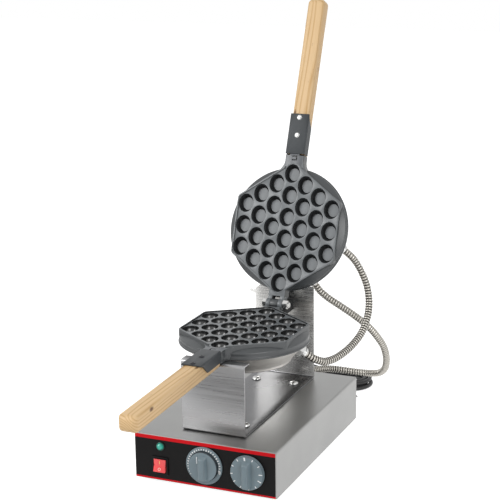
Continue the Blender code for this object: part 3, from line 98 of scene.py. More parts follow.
# Sizes that several pieces share

CLEARANCE = 0.0003
TINY = 0.00002
OVERRUN = 0.004
BASE_WIDTH = BASE_HIGH.x - BASE_LOW.x
BASE_DEPTH = BASE_HIGH.y - BASE_LOW.y
BASE_HEIGHT = 0.070


# Modelling tools

def linked(name, data):
    """A new object in the scene."""
    made = bpy.data.objects.new(name, data)
    bpy.context.collection.objects.link(made)
    return made


def piece(name, mesh, matrix, body, slot, replaces=(), looks=(), sharp=35.0):
    """A finished piece: placed, shaded, dressed in its looks or else its slot's material, and tied to its body and
    the nodes it stands for.
    """
    made = linked(name, mesh)
    made.matrix_world = matrix
    for one in looks or [slot]:
        mesh.materials.append(LOOKS[one])
    if sharp:
        mesh.shade_smooth()
        mesh.set_sharp_from_angle(angle=math.radians(sharp))
    bpy.context.view_layer.update()
    if replaces:
        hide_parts(*replaces)
    if body:
        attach(made, body)
    return made


def mesh_of(shape, clean=True):
    """The mesh of a bmesh, which is freed."""
    if clean:
        bmesh.ops.remove_doubles(shape, verts=shape.verts, dist=TINY / 4)
        bmesh.ops.recalc_face_normals(shape, faces=shape.faces)
    mesh = bpy.data.meshes.new("shape")
    shape.to_mesh(mesh)
    shape.free()
    return mesh


def placed(mesh, matrix):
    if matrix:
        mesh.transform(matrix)
    return mesh


def joined(meshes):
    """Several meshes as one, left as separate bodies."""
    shape = bmesh.new()
    for mesh in meshes:
        shape.from_mesh(mesh)
    return mesh_of(shape, clean=False)


def shaped(mesh, cuts=(), joins=(), limits=()):
    """The mesh with others joined to it, others cut from it, and what lies outside the limits gone."""
    base = linked("shape", mesh)
    used = [base]
    for operation, others in (("UNION", joins), ("DIFFERENCE", cuts), ("INTERSECT", limits)):
        for other in others:
            used.append(linked("tool", other))
            change = base.modifiers.new("change", "BOOLEAN")
            change.operation = operation
            change.object = used[-1]
    bpy.context.view_layer.update()
    made = bpy.data.meshes.new_from_object(base.evaluated_get(bpy.context.evaluated_depsgraph_get()))
    for one in used:
        bpy.data.objects.remove(one)
    made.materials.clear()
    return made


def softened_edges(shape, edges, round_by, steps):
    bmesh.ops.bevel(shape, geom=edges, offset=round_by, segments=steps, profile=0.5, affect="EDGES")


def block(size, centre=(0, 0, 0), round_by=0.0):
    """A box, with its edges rounded."""
    shape = bmesh.new()
    bmesh.ops.create_cube(shape, size=1.0)
    bmesh.ops.scale(shape, vec=size, verts=shape.verts)
    if round_by:
        softened_edges(shape, list(shape.edges), round_by, 3)
    bmesh.ops.translate(shape, vec=centre, verts=shape.verts)
    return mesh_of(shape)


def cross(length, width, depth, z):
    """Two crossed bars, which cut a driver's cross at a height."""
    return [block((length, width, depth), (0, 0, z)), block((width, length, depth), (0, 0, z))]


def lathe(profile, steps=64, matrix=None):
    """A profile of (radius, height), from the axis down its outer side to the axis, turned about Z."""
    shape = bmesh.new()
    turns = [2 * math.pi * number / steps for number in range(steps)]
    rings = []
    for radius, height in profile:
        if radius < TINY:
            rings.append([shape.verts.new((0, 0, height))] * steps)
            continue
        ring = [(radius * math.cos(a), radius * math.sin(a), height) for a in turns]
        rings.append([shape.verts.new(place) for place in ring])
    for upper, lower in zip(rings, rings[1:]):
        for number in range(steps):
            after = (number + 1) % steps
            corners = [upper[number], lower[number], lower[after], upper[after]]
            corners = [corner for place, corner in enumerate(corners) if corner not in corners[:place]]
            if len(corners) > 2:
                shape.faces.new(corners)
    return placed(mesh_of(shape), matrix)


def curved(start, corner, end, steps):
    """Places on the curve from the start to the end that the corner draws out."""
    shares = [step / steps for step in range(steps + 1)]
    return [tuple((1 - t) ** 2 * start + 2 * t * (1 - t) * corner + t ** 2 * end) for t in shares]


def softened(points, radius, steps=4, closed=False):
    """The outline with each inner corner rounded by about the radius."""
    made = []
    count = len(points)
    for number, point in enumerate(points):
        here = Vector(point)
        if not closed and number in (0, count - 1):
            made.append(tuple(here))
            continue
        to_before = Vector(points[number - 1]) - here
        to_after = Vector(points[(number + 1) % count]) - here
        reach = min(radius, 0.45 * to_before.length, 0.45 * to_after.length)
        start = here + to_before.normalized() * reach
        made += curved(start, here, here + to_after.normalized() * reach, steps)
    return made


def arc(centre, radius, start, end, steps):
    angles = np.linspace(start, end, steps + 1)
    return [(centre[0] + radius * math.cos(a), centre[1] + radius * math.sin(a)) for a in angles]


def round_of(radius, sides):
    """A polygon about the origin, with a corner on +X."""
    return arc((0, 0), radius, 0, 2 * math.pi, sides)[:-1]


def slab(outline, low, high, matrix=None, round_by=0.0, steps=2):
    """A flat outline between two heights of its own Z, with the edges of its faces rounded."""
    shape = bmesh.new()
    face = shape.faces.new([shape.verts.new((x, y, low)) for x, y in outline])
    raised = bmesh.ops.extrude_face_region(shape, geom=[face])["geom"]
    top = [one for one in raised if isinstance(one, bmesh.types.BMVert)]
    bmesh.ops.translate(shape, vec=(0, 0, high - low), verts=top)
    if round_by:
        edges = [edge for edge in shape.edges if abs(edge.verts[0].co.z - edge.verts[1].co.z) < TINY]
        softened_edges(shape, edges, round_by, steps)
    return placed(mesh_of(shape), matrix)


def rod(radius, start, end):
    """A cylinder from one place to another."""
    start, end = Vector(start), Vector(end)
    turn = (end - start).to_track_quat("Z", "Y").to_matrix().to_4x4()
    return slab(round_of(radius, 32), 0, (end - start).length, Matrix.Translation(start) @ turn)


def lofted(rings, capped=True):
    """A bmesh with faces between rings of places, and over the first and the last."""
    shape = bmesh.new()
    rings = [[shape.verts.new(place) for place in ring] for ring in rings]
    for first, second in zip(rings, rings[1:]):
        for number in range(len(first)):
            after = (number + 1) % len(first)
            shape.faces.new((first[number], first[after], second[after], second[number]))
    if capped:
        shape.faces.new(rings[0])
        shape.faces.new(rings[-1])
    return shape


def tube(path, radii, sides):
    """A tube along the places with a radius at each, its rings turned as little as can be."""
    side = None
    rings = []
    turns = [2 * math.pi * step / sides for step in range(sides)]
    for number, (place, radius) in enumerate(zip(path, radii)):
        before, after = path[max(number - 1, 0)], path[min(number + 1, len(path) - 1)]
        ahead = (after - before).normalized()
        side = side or ahead.orthogonal()
        side = (side - ahead * side.dot(ahead)).normalized()
        up = ahead.cross(side)
        rings.append([place + (side * math.cos(a) + up * math.sin(a)) * radius for a in turns])
    return mesh_of(lofted(rings))


def smooth_route(points, step):
    """Points along a smooth curve through the given ones, about a step apart, with straight ends."""
    knots = np.array(points, float)
    fine = [knots[0]]
    for number in range(len(knots) - 3):
        p0, p1, p2, p3 = knots[number:number + 4]
        t1 = np.linalg.norm(p1 - p0) ** 0.5
        t2 = t1 + np.linalg.norm(p2 - p1) ** 0.5
        t3 = t2 + np.linalg.norm(p3 - p2) ** 0.5
        for t in np.linspace(t1, t2, 24, endpoint=False):
            a1 = (t1 - t) / t1 * p0 + t / t1 * p1
            a2 = (t2 - t) / (t2 - t1) * p1 + (t - t1) / (t2 - t1) * p2
            a3 = (t3 - t) / (t3 - t2) * p2 + (t - t2) / (t3 - t2) * p3
            b1 = (t2 - t) / t2 * a1 + t / t2 * a2
            b2 = (t3 - t) / (t3 - t1) * a2 + (t - t1) / (t3 - t1) * a3
            fine.append((t2 - t) / (t2 - t1) * b1 + (t - t1) / (t2 - t1) * b2)
    fine = np.array(fine + [knots[-2], knots[-1]])
    travelled = np.concatenate([[0], np.cumsum(np.linalg.norm(np.diff(fine, axis=0), axis=1))])
    count = max(int(round(travelled[-1] / step)), 2)
    places = np.linspace(0, travelled[-1], count + 1)
    route = [[np.interp(place, travelled, fine[:, axis]) for axis in range(3)] for place in places]
    return [Vector(place) for place in route]


# Materials, by their names or by the slots that they dress

LOOKS = {}


def look(name, colour, roughness, metallic=0.0, **sockets):
    """A Principled material under its name in LOOKS. It gives the node tree."""
    made = LOOKS[name] = bpy.data.materials.new(name)
    made.use_nodes = True
    sockets |= {"Base Color": (*colour, 1.0), "Roughness": roughness, "Metallic": metallic}
    for label, value in sockets.items():
        made.node_tree.nodes["Principled BSDF"].inputs[label.replace("_", " ")].default_value = value
    return made.node_tree


def node(tree, kind, inputs=None, **settings):
    """A node with its settings. An input takes a value or another node's output."""
    made = tree.nodes.new("ShaderNode" + kind)
    for label, value in settings.items():
        setattr(made, label, value)
    for label, value in (inputs or {}).items():
        socket = made.inputs[label]
        if isinstance(value, bpy.types.NodeSocket):
            tree.links.new(value, socket)
        else:
            socket.default_value = value
    return made


def maths(tree, operation, *values):
    """What a Math node makes of the values."""
    return node(tree, "Math", dict(enumerate(values)), operation=operation).outputs[0]


def place_of(tree, scale=(1, 1, 1)):
    """The piece's own coordinates, stretched."""
    here = node(tree, "TexCoord").outputs["Object"]
    return node(tree, "Mapping", {"Vector": here, "Scale": scale}).outputs["Vector"]


def noise(tree, place, scale, detail=3.0, roughness=0.5):
    inputs = {"Vector": place, "Scale": scale, "Detail": detail, "Roughness": roughness}
    return node(tree, "TexNoise", inputs).outputs["Fac"]


def spread(tree, value, low, high, to_low, to_high):
    """The value from one range carried to another."""
    inputs = {"Value": value, "From Min": low, "From Max": high, "To Min": to_low, "To Max": to_high}
    return node(tree, "MapRange", inputs).outputs["Result"]


def mix(tree, share, first, second, kind="MIX"):
    """Two colours, or nodes' outputs, mixed by a share."""
    inputs = {0: share}
    for place, one in ((6, first), (7, second)):
        inputs[place] = one if isinstance(one, bpy.types.NodeSocket) else (*one, 1.0)
    return node(tree, "Mix", inputs, data_type="RGBA", blend_type=kind).outputs[2]


def toned(colour, by):
    return [min(by * value, 1) for value in colour]


def dress(tree, tone, gloss, height, strength, distance):
    """The shader's colour, roughness and bump, from other nodes."""
    bump = node(tree, "Bump", {"Height": height, "Strength": strength, "Distance": distance})
    inputs = {"Base Color": tone, "Roughness": gloss, "Normal": bump.outputs["Normal"]}
    for label, value in inputs.items():
        if value:
            tree.links.new(value, tree.nodes["Principled BSDF"].inputs[label])


def brushed(name, colour, roughness, stretch, wear=0.10):
    """Brushed sheet: fine streaks, and slow changes in tone and gloss."""
    tree = look(name, colour, roughness, 1.0)
    streaks = noise(tree, place_of(tree, stretch), 1.0, 4.0, 0.6)
    slow = noise(tree, place_of(tree), 9.0, 3.0)
    tone = mix(tree, streaks, toned(colour, 0.86), toned(colour, 1.12))
    dulled = spread(tree, slow, 0.35, 0.7, 1.0, 1.0 - wear)
    grey = node(tree, "CombineColor", {0: dulled, 1: dulled, 2: dulled}).outputs[0]
    gloss = spread(tree, streaks, 0.3, 0.7, roughness - 0.05, roughness + 0.07)
    dress(tree, mix(tree, 1.0, tone, grey, "MULTIPLY"), gloss, streaks, 0.10, 0.0002)


def plain(name, colour, roughness, grain, distance, metallic=0.0, variety=0.08, **sockets):
    """A moulded, cast or coated surface: fine grain in its bump, slow changes in tone and gloss."""
    tree = look(name, colour, roughness, metallic, **sockets)
    slow = noise(tree, place_of(tree), 22.0, 4.0)
    fine = noise(tree, place_of(tree), grain, 2.0)
    share = spread(tree, slow, 0.35, 0.65, 0, 1)
    gloss = spread(tree, slow, 0.3, 0.7, roughness - 0.04, roughness + 0.05)
    tone = mix(tree, share, toned(colour, 1 - variety), toned(colour, 1 + variety))
    dress(tree, tone, gloss, fine, 0.35, distance)


def cast(name, colour, roughness, sand_depth=0.00015, **sockets):
    """Coated casting: a sanded grain, and slow patches where it has been used."""
    tree = look(name, colour, roughness, IOR=1.6, **sockets)
    slow = noise(tree, place_of(tree), 14.0, 5.0, 0.6)
    sand = noise(tree, place_of(tree), 1500.0, 2.0, 0.7)
    tone = mix(tree, spread(tree, slow, 0.35, 0.65, 0, 1), toned(colour, 0.86), toned(colour, 1.16))
    tone = mix(tree, spread(tree, sand, 0.45, 0.8, 0, 0.35), tone, toned(colour, 1.7))
    gloss = spread(tree, slow, 0.3, 0.7, roughness - 0.05, roughness + 0.07)
    dress(tree, tone, gloss, sand, 0.30, sand_depth)


WOOD_PALE = (0.80, 0.59, 0.335)
WOOD_KNOT = (0.16, 0.075, 0.03)
WOOD_SPECK = (0.24, 0.12, 0.05)
WOOD_RINGS = ((0.0, (0.74, 0.505, 0.265)), (0.55, (0.68, 0.445, 0.210)), (1.0, (0.56, 0.335, 0.135)))


def wood():
    """Pale softwood: rings about a line off the bar's side, with fibres along it, and knots."""
    tree = look("wood", (0.66, 0.44, 0.22), 0.48)
    along = place_of(tree, (1, 0.10, 1))
    warp = noise(tree, along, 26.0, 3.0)
    shift = node(tree, "VectorMath", {0: (0.011, 0, 0.019), 1: along}, operation="ADD").outputs[0]
    axes = node(tree, "SeparateXYZ", {0: shift}).outputs
    flat = node(tree, "CombineXYZ", {0: axes[0], 2: axes[2]}).outputs[0]
    reach = node(tree, "VectorMath", {0: flat}, operation="LENGTH").outputs["Value"]
    rings = maths(tree, "MULTIPLY", maths(tree, "MULTIPLY_ADD", warp, 0.014, reach), 1900.0)
    ring = spread(tree, maths(tree, "SINE", rings), -0.2, 1.0, 0, 1)
    fibre = noise(tree, place_of(tree, (1, 0.025, 1)), 900.0, 3.0)
    band = node(tree, "ValToRGB", {"Fac": ring})
    band.color_ramp.elements.new(1.0)
    for element, (place, colour) in zip(band.color_ramp.elements, WOOD_RINGS):
        element.position = place
        element.color = (*colour, 1.0)
    tone = mix(tree, spread(tree, fibre, 0.35, 0.75, 0, 0.5), band.outputs["Color"], WOOD_PALE)
    spots = node(tree, "TexVoronoi", {"Vector": place_of(tree, (1, 0.55, 1)), "Scale": 26.0})
    tone = mix(tree, spread(tree, spots.outputs["Distance"], 0.045, 0.10, 1, 0), tone, WOOD_KNOT)
    speck = noise(tree, place_of(tree, (1, 0.35, 1)), 210.0, 2.0)
    tone = mix(tree, spread(tree, speck, 0.70, 0.78, 0, 0.7), tone, WOOD_SPECK)
    height = maths(tree, "MULTIPLY_ADD", fibre, 0.6, ring)
    dress(tree, tone, spread(tree, fibre, 0.3, 0.7, 0.40, 0.56), height, 0.25, 0.0003)
    LOOKS["handle_wood"] = LOOKS["wood"]


PRINT_LOW, PRINT_HIGH = FOOT_HEIGHT + 0.0012, FOOT_HEIGHT + BASE_HEIGHT - 0.0012
RED_TOP, RED_FOOT = 0.0052, 0.0026
PRINT_RED = (0.62, 0.006, 0.012)


def front_print():
    """Black overlay with a red line along its top and a thinner one along its foot."""
    tree = look("panel_black", (0.006, 0.006, 0.006), 0.42, Specular_IOR_Level=0.12)
    height = node(tree, "SeparateXYZ", {0: node(tree, "TexCoord").outputs["Object"]}).outputs[2]
    top = maths(tree, "GREATER_THAN", height, PRINT_HIGH - RED_TOP)
    red = maths(tree, "MAXIMUM", top, maths(tree, "LESS_THAN", height, PRINT_LOW + RED_FOOT))
    grain = noise(tree, place_of(tree), 1400.0, 2.0)
    black = mix(tree, grain, (0.0035, 0.0032, 0.0034), (0.0075, 0.007, 0.0072))
    dress(tree, mix(tree, red, black, PRINT_RED), None, grain, 0.12, 0.0001)


FLAT_STREAKS = (8, 8, 420)
wood()
front_print()
brushed("stainless_steel", (0.345, 0.345, 0.34), 0.34, (1500, 9, 1500), 0.12)
brushed("stand_steel", (0.375, 0.375, 0.38), 0.30, FLAT_STREAKS, 0.05)
# Lit and shaded copies of the stand's steel: painted light on its back wall, painted shade on its floor.
brushed("lit_back_steel", (0.66, 0.655, 0.64), 0.25, FLAT_STREAKS, 0.04)
brushed("shaded_tray_steel", (0.13, 0.13, 0.135), 0.27, FLAT_STREAKS, 0.05)
brushed("cover_steel", (0.76, 0.735, 0.70), 0.40, (25, 25, 500), 0.10)
brushed("bolt_steel", (0.66, 0.66, 0.65), 0.18, (200, 200, 200), 0.05)
brushed("hose_steel", (0.47, 0.45, 0.41), 0.26, (150, 150, 150), 0.12)
brushed("spindle_brass", (0.70, 0.53, 0.26), 0.3, (300, 300, 300))
brushed("heater_steel", (0.20, 0.17, 0.15), 0.45, (120, 120, 120))
brushed("screw_dark", (0.05, 0.05, 0.055), 0.35, (200, 200, 200), 0.05)
# Painted shade in the hose's grooves.
look("shaded_hose_groove", (0.030, 0.028, 0.024), 0.5, 0.6)
cast("mould_iron", (0.133, 0.144, 0.152), 0.34)
cast("neck_iron", (0.097, 0.105, 0.115), 0.34)
cast("mould_side", (0.048, 0.053, 0.056), 0.34, 0.00008, Specular_IOR_Level=0.52)
# Painted shade: near-black cup walls for the upper mould, and darker glossy cups for the lower.
cast("shaded_cup_wall", (0.010, 0.0107, 0.0113), 0.24, 0.00003, Specular_IOR_Level=0.32)
cast("shaded_cup_gloss", (0.006, 0.0064, 0.0068), 0.20, 0.00002, Specular_IOR_Level=0.7)
# Painted light: the upper cups' floors, lighter than the face of the same coating.
cast("lit_cup_floor", (0.185, 0.200, 0.212), 0.34, 0.00005)
cast("hinge_iron", (0.008, 0.008, 0.009), 0.50, Specular_IOR_Level=0.15)
plain("sleeve_iron", (0.042, 0.047, 0.051), 0.42, 900.0, 0.0001, 0.10, 0.10, Specular_IOR_Level=0.35)
plain("cord_rubber", (0.018, 0.018, 0.019), 0.48, 500.0, 0.0001)
plain("foot_rubber", (0.020, 0.020, 0.020), 0.65, 700.0, 0.0001)
plain("black_plastic", (0.020, 0.020, 0.022), 0.38, 900.0, 0.00005)
plain("terminal_plastic", (0.72, 0.71, 0.67), 0.45, 700.0, 0.00005)
plain("knob_plastic", (0.158, 0.212, 0.240), 0.34, 1100.0, 0.00006)
# Painted shade for the groove round a dial's raised disc.
plain("shaded_knob_groove", (0.030, 0.040, 0.048), 0.45, 900.0, 0.00006)
plain("dial_print", (0.86, 0.87, 0.87), 0.45, 900.0, 0.00004)
plain("rocker_red", (0.92, 0.085, 0.090), 0.25, 700.0, 0.00004)
plain("rocker_black", (0.006, 0.006, 0.006), 0.50, 900.0, 0.00004, Specular_IOR_Level=0.12)
plain("on_mark", (0.92, 0.55, 0.16), 0.35, 700.0, 0.00004)
plain("off_mark", (0.92, 0.60, 0.52), 0.35, 700.0, 0.00004)
plain("lamp_green", (0.040, 0.47, 0.36), 0.12, 500.0, 0.00004)
plain("lamp_bezel", (0.010, 0.075, 0.055), 0.30, 700.0, 0.00004)
plain("tie", (0.030, 0.030, 0.032), 0.55, 300.0, 0.0002)
for part in frame["record"]["subparts"]:
    solid = frame["nodes"][part["node"]]
    solid.data.materials.clear()
    solid.data.materials.append(LOOKS[part["material_slot"]])


# Two metal hoses, and the mains lead with its hank

HOSE_RADIUS = 0.006
HOSE_PITCH = 0.0046
HOSE_STEPS = (1.0, 1.0, 0.98, 0.83, 0.80, 0.94)
# Steps of each turn whose faces take the painted shade of the groove.
HOSE_SHADED_GROOVE_STEPS = (3, 4)
HOSE_ROUND = 20
HOSE_END_STRAIGHT = 2 * HOSE_RADIUS
COVER_TOP = -0.0218
COVER_RIM_RADIUS = 0.093
COVER_CONE_RADIUS = 0.0726
COVER_CONE_DEPTH = 0.0245
FITTING_PLACE_RADIUS = 0.084
FITTING_LENGTH = 0.012
HOSE_GLAND_Z = 0.046
HOSE_GLAND_LENGTH = 0.016
SIDE_WAY = (math.radians(12.0), math.radians(38.5), 0.80)
BACK_WAY = (math.radians(60.0), math.radians(54.0), 0.57)
HOSE_PAIR_ROUTE = [
    (0.109, 0.197, 0.142), (0.117, 0.217, 0.140), (0.123, 0.237, 0.142), (0.128, 0.257, 0.146),
    (0.132, 0.277, 0.152), (0.135, 0.296, 0.160), (0.136, 0.314, 0.172), (0.135, 0.330, 0.186),
    (0.131, 0.343, 0.203), (0.124, 0.352, 0.222), (0.114, 0.356, 0.241), (0.103, 0.354, 0.260),
]
HOSE_BASE_ROUTE = [
    (0.001, 0.393, 0.044), (0.004, 0.417, 0.041), (0.012, 0.440, 0.038), (0.027, 0.462, 0.033),
    (0.051, 0.476, 0.028), (0.080, 0.479, 0.027), (0.107, 0.468, 0.034), (0.123, 0.452, 0.049),
    (0.131, 0.436, 0.067), (0.135, 0.421, 0.085), (0.135, 0.406, 0.105), (0.130, 0.391, 0.124),
    (0.122, 0.377, 0.142), (0.111, 0.364, 0.158), (0.097, 0.352, 0.173), (0.082, 0.341, 0.187),
    (0.066, 0.331, 0.201),
]
LEAD_RADIUS = 0.0035
LEAD_STEP = 0.014
LEAD_FINE_STEP = 0.0035
LEAD_X, LEAD_Z = -0.080, 0.022
RELIEF_LENGTH = 0.040
LEAD_ROUTE = [
    (-0.083, 0.410, 0.0150), (-0.091, 0.423, 0.005), (-0.0985, 0.436, -0.001),
    (-0.099, 0.448, -0.0020), (-0.091, 0.460, -0.0020),
]
TAIL_ROUTE = [(-0.0395, 0.4607, 0.0040), (-0.0270, 0.4490, 0.0000), (-0.0160, 0.4345, 0.001)]
HANK_CENTRE = (-0.005, 0.503)
HANK_RUN = 0.100
HANK_FOLD_RADIUS = 0.0213
HANK_STEP = 0.0085
HANK_LAYER = 0.0082
HANK_WAIST = 0.0125
HANK_TURNS_A_LAYER = 2
RUN_INTERVALS = 5
FOLD_INTERVALS = 7
TABLE_CLEARANCE = 0.0005
PLUG_PLACE = (0.015, 0.425)
PLUG_HEIGHT = 0.021


def way_out(matrix, way, mirrored):
    """The end of a hose fitting on a cover, a place straight ahead of it, and the fitting's frame."""
    azimuth, azimuth_out, drop = way
    share = (COVER_RIM_RADIUS - FITTING_PLACE_RADIUS) / (COVER_RIM_RADIUS - COVER_CONE_RADIUS)
    x, y = FITTING_PLACE_RADIUS * math.cos(azimuth), FITTING_PLACE_RADIUS * math.sin(azimuth)
    place = Vector((x, y, COVER_TOP - share * COVER_CONE_DEPTH))
    ahead = Vector((math.cos(azimuth_out), math.sin(azimuth_out), -drop)).normalized()
    if mirrored:
        place.x, ahead.x = -place.x, -ahead.x
    turn = ahead.to_track_quat("Z", "Y").to_matrix().to_4x4()
    end = place + ahead * (FITTING_LENGTH + CLEARANCE)
    beyond = end + ahead * HOSE_END_STRAIGHT
    to_machine = TO_MACHINE @ matrix
    return to_machine @ end, to_machine @ beyond, matrix @ Matrix.Translation(place) @ turn


def hose(name, start, route, end):
    """Interlocked strip: each turn has a high back, a step down and a groove, whose dark colour is painted shade.
    """
    points = [start[0], start[1]] + [Vector(place) for place in route] + [end[1], end[0]]
    fine = [MACHINE @ place for place in smooth_route(points, HOSE_PITCH / len(HOSE_STEPS))]
    radii = [HOSE_RADIUS * HOSE_STEPS[number % len(HOSE_STEPS)] for number in range(len(fine))]
    mesh = tube(fine, radii, HOSE_ROUND)
    made = piece("metal_" + name, mesh, Matrix(), None, "hose_steel", [name],
                 ["hose_steel", "shaded_hose_groove"], 0)
    mesh.shade_smooth()
    for face in mesh.polygons:
        face.material_index = int((face.index // HOSE_ROUND) % len(HOSE_STEPS) in HOSE_SHADED_GROOVE_STEPS)
    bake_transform(made)


def hank_points():
    """The hank's loops in layers: each spirals in or out by a step a turn, drawn in at its waist."""
    half = HANK_RUN / 2
    intervals = 2 * (RUN_INTERVALS + FOLD_INTERVALS)
    rise = RUN_INTERVALS / intervals
    points = []
    for number in range(2 * HANK_TURNS_A_LAYER * intervals + 1):
        turn, phase = number / intervals, number % intervals
        wide = HANK_FOLD_RADIUS + HANK_STEP * abs(HANK_TURNS_A_LAYER - turn)
        climbed = min(max((turn - HANK_TURNS_A_LAYER) / rise, 0), 1)
        flip = 1 if phase < intervals / 2 else -1
        step = phase % (intervals // 2)
        if step <= RUN_INTERVALS:
            x = -half + HANK_RUN * step / RUN_INTERVALS
            y = HANK_WAIST * math.cos(math.pi * x / HANK_RUN) ** 2 - wide
        else:
            angle = math.pi * (step - RUN_INTERVALS) / FOLD_INTERVALS - math.pi / 2
            x, y = half + wide * math.cos(angle), wide * math.sin(angle)
        z = TABLE_CLEARANCE + LEAD_RADIUS + HANK_LAYER * climbed - FOOT_HEIGHT
        points.append(Vector((HANK_CENTRE[0] + flip * x, HANK_CENTRE[1] + flip * y, z)))
    return points


def mains_lead():
    """The whole lead as one curve: from the gland, round the hank and on to the plug."""
    gland_end = BASE_DEPTH + CLEARANCE + RELIEF_LENGTH + CLEARANCE
    loops = hank_points()
    straight = Vector((LEAD_STEP, 0, 0))
    free = [Vector((LEAD_X, gland_end, LEAD_Z)), Vector((LEAD_X, gland_end + LEAD_STEP, LEAD_Z))]
    free += [Vector(place) for place in LEAD_ROUTE] + [loops[0] - 2 * straight, loops[0] - straight]
    plug_end = Vector((*PLUG_PLACE, TABLE_CLEARANCE + PLUG_HEIGHT / 2 - FOOT_HEIGHT))
    tail = loops[-2:] + [Vector(place) for place in TAIL_ROUTE] + [plug_end - straight, plug_end]
    knots = smooth_route(free, LEAD_STEP)[:-1] + [loops[0] - straight]
    knots += loops[:-2] + smooth_route(tail, LEAD_STEP)
    points = [MACHINE @ place for place in smooth_route(knots, LEAD_FINE_STEP)]
    for place in points:
        place.z = max(place.z, LEAD_RADIUS + TABLE_CLEARANCE / 2)
    curve = bpy.data.curves.new("mains_lead", "CURVE")
    curve.dimensions = "3D"
    curve.bevel_depth = LEAD_RADIUS
    curve.bevel_resolution = 5
    curve.use_fill_caps = True
    line = curve.splines.new("POLY")
    line.points.add(len(points) - 1)
    for point, place in zip(line.points, points):
        point.co = (*place, 1)
    line.use_smooth = True
    made = linked("mains_lead", curve)
    curve.materials.append(LOOKS["cord_rubber"])
    bpy.context.view_layer.update()
    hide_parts("power_cord", "cord_hank")
    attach(made, ROOT)


low_side = way_out(LOWER, SIDE_WAY, False)
high_side = way_out(UPPER_PLACE, SIDE_WAY, True)
high_back = way_out(UPPER_PLACE, BACK_WAY, True)
hose("hose_between_moulds", low_side, HOSE_PAIR_ROUTE, high_side)
gland_tip = Vector((0, BASE_DEPTH + 2 * CLEARANCE + HOSE_GLAND_LENGTH, HOSE_GLAND_Z))
base_way = (gland_tip, gland_tip + Vector((0, HOSE_END_STRAIGHT, 0)))
hose("hose_to_base", base_way, HOSE_BASE_ROUTE, high_back)
mains_lead()


# Moulds

FACE_DROP = 0.004
FACE_SINK = 0.0022
MATING_GAP = 0.00015
MOULD_RADIUS = 0.098
LIP_WIDTH = 0.0025
HEX_HALF_WIDTH = 0.0875
HEX_SIDE_HALF = 0.0465
HEX_SLOPE = 0.70
HEX_TIP = HEX_SIDE_HALF + HEX_HALF_WIDTH * HEX_SLOPE
HEX_WALL = 0.0013
HEX_ROUND = 0.0045
SHOULDER_RADIUS = 0.088
SHOULDER = -FACE_DROP - 0.0067
MOULD_TOP = -FACE_DROP - HEX_WALL
MOULD_BOTTOM = -FACE_DROP - 0.0175
PLATE_BACK = -FACE_DROP - 0.0135
BEAD_HEIGHT = 0.0026
BEAD_PROUD = 0.001
MOULD_WALL = 0.007
BOSS_RADIUS = 0.008
BOSS_END = PLATE_BACK - 0.012
NECK_WIDTH = 0.0276
NECK_GRIP_WIDTH = 0.031
NECK_BOTTOM = MOULD_BOTTOM + 0.0006
NECK_TOP = -MATING_GAP - 0.0004
GRIP_TOP = -FACE_SINK - 0.0002
CUP_PITCH = 0.035
CUP_COLUMN_STEP = 0.02425
CUP_LENGTH = 0.0293
CUP_WIDTH = 0.0247
CUP_DEPTH = 0.0105
CUP_RIM = 0.0007
CUP_RIM_STEPS = 4
CUP_FLOOR_SHARE = 0.69
CUP_WALL_TURN = math.radians(65.0)
CUP_WALL_STEPS = 7
CUP_COLUMN_COUNTS = (3, 4, 5, 6, 5, 4, 3)
CUP_STEPS = 30
HINGE_BARREL_RADIUS = 0.008
HINGE_PIN_RADIUS = 0.004
HINGE_BORE_RADIUS = HINGE_PIN_RADIUS + 0.0002
TONGUE_WIDTH = 0.0124
FORK_SLOT = 0.0130
FORK_WIDTH = 0.0270
HINGE_NECK_START = 0.012
BLOCK_DROP = 0.0095
BLOCK_WIDTH = 0.028
BLOCK_BOLT_X = 0.008
BLOCK_BOLT_REACH = 0.016
BLOCK_MIDDLE = (-BLOCK_DROP + MOULD_BOTTOM) / 2
STAND_BACK = 0.312
STAND_SHEET = 0.002
BOLT_RADIUS = 0.003
BOLT_HOLE_RADIUS = BOLT_RADIUS + CLEARANCE
SLEEVE_SHEET = 0.0018
GRIP_DEPTH = 0.0018 + 0.024 + CLEARANCE
NECK_END = SLEEVE_START - CLEARANCE - GRIP_DEPTH * math.sin(HANDLE_DROOP)
TANG_SIZE = (0.016, 0.040, 0.008)
LUG_PLACE = 0.1125
LUG_SIZE = (0.0078, 0.0058)
LUG_LINE = 0.0018
LUG_DEPTH = 0.0040
FLARE = (0.014, 0.013)
FLARE_STEPS = 8
FLARE_SINK = 0.0006
MOUTH_SHARE = 0.86


def hexagon(inset=0.0, round_by=HEX_ROUND):
    """The mould's six-sided outline, with its points on the middle line and its corners rounded."""
    half, side = HEX_HALF_WIDTH, HEX_SIDE_HALF
    corners = [(half, -side), (half, side), (0, HEX_TIP), (-half, side), (-half, -side), (0, -HEX_TIP)]
    corners = [Vector(corner) for corner in corners]
    inner = []
    for number, corner in enumerate(corners):
        before = (corner - corners[number - 1]).normalized()
        after = (corners[(number + 1) % 6] - corner).normalized()
        first, second = Vector((-before.y, before.x)), Vector((-after.y, after.x))
        inner.append(tuple(corner + (first + second) * inset / (1 + first.dot(second))))
    return softened(inner, round_by, 5, closed=True)


def face_recess():
    """The sunk face inside the lip, which is open to the grip neck."""
    half = MOUTH_SHARE * NECK_GRIP_WIDTH / 2
    edge = HEX_TIP - LIP_WIDTH * math.sqrt(1 + HEX_SLOPE ** 2) - half * HEX_SLOPE
    outline = [place for place in hexagon(LIP_WIDTH, 0.003) if abs(place[0]) > half or place[1] > 0]
    end = -HEX_TIP - OVERRUN
    return outline + [(-half, -edge), (-half, end), (half, end), (half, -edge)]


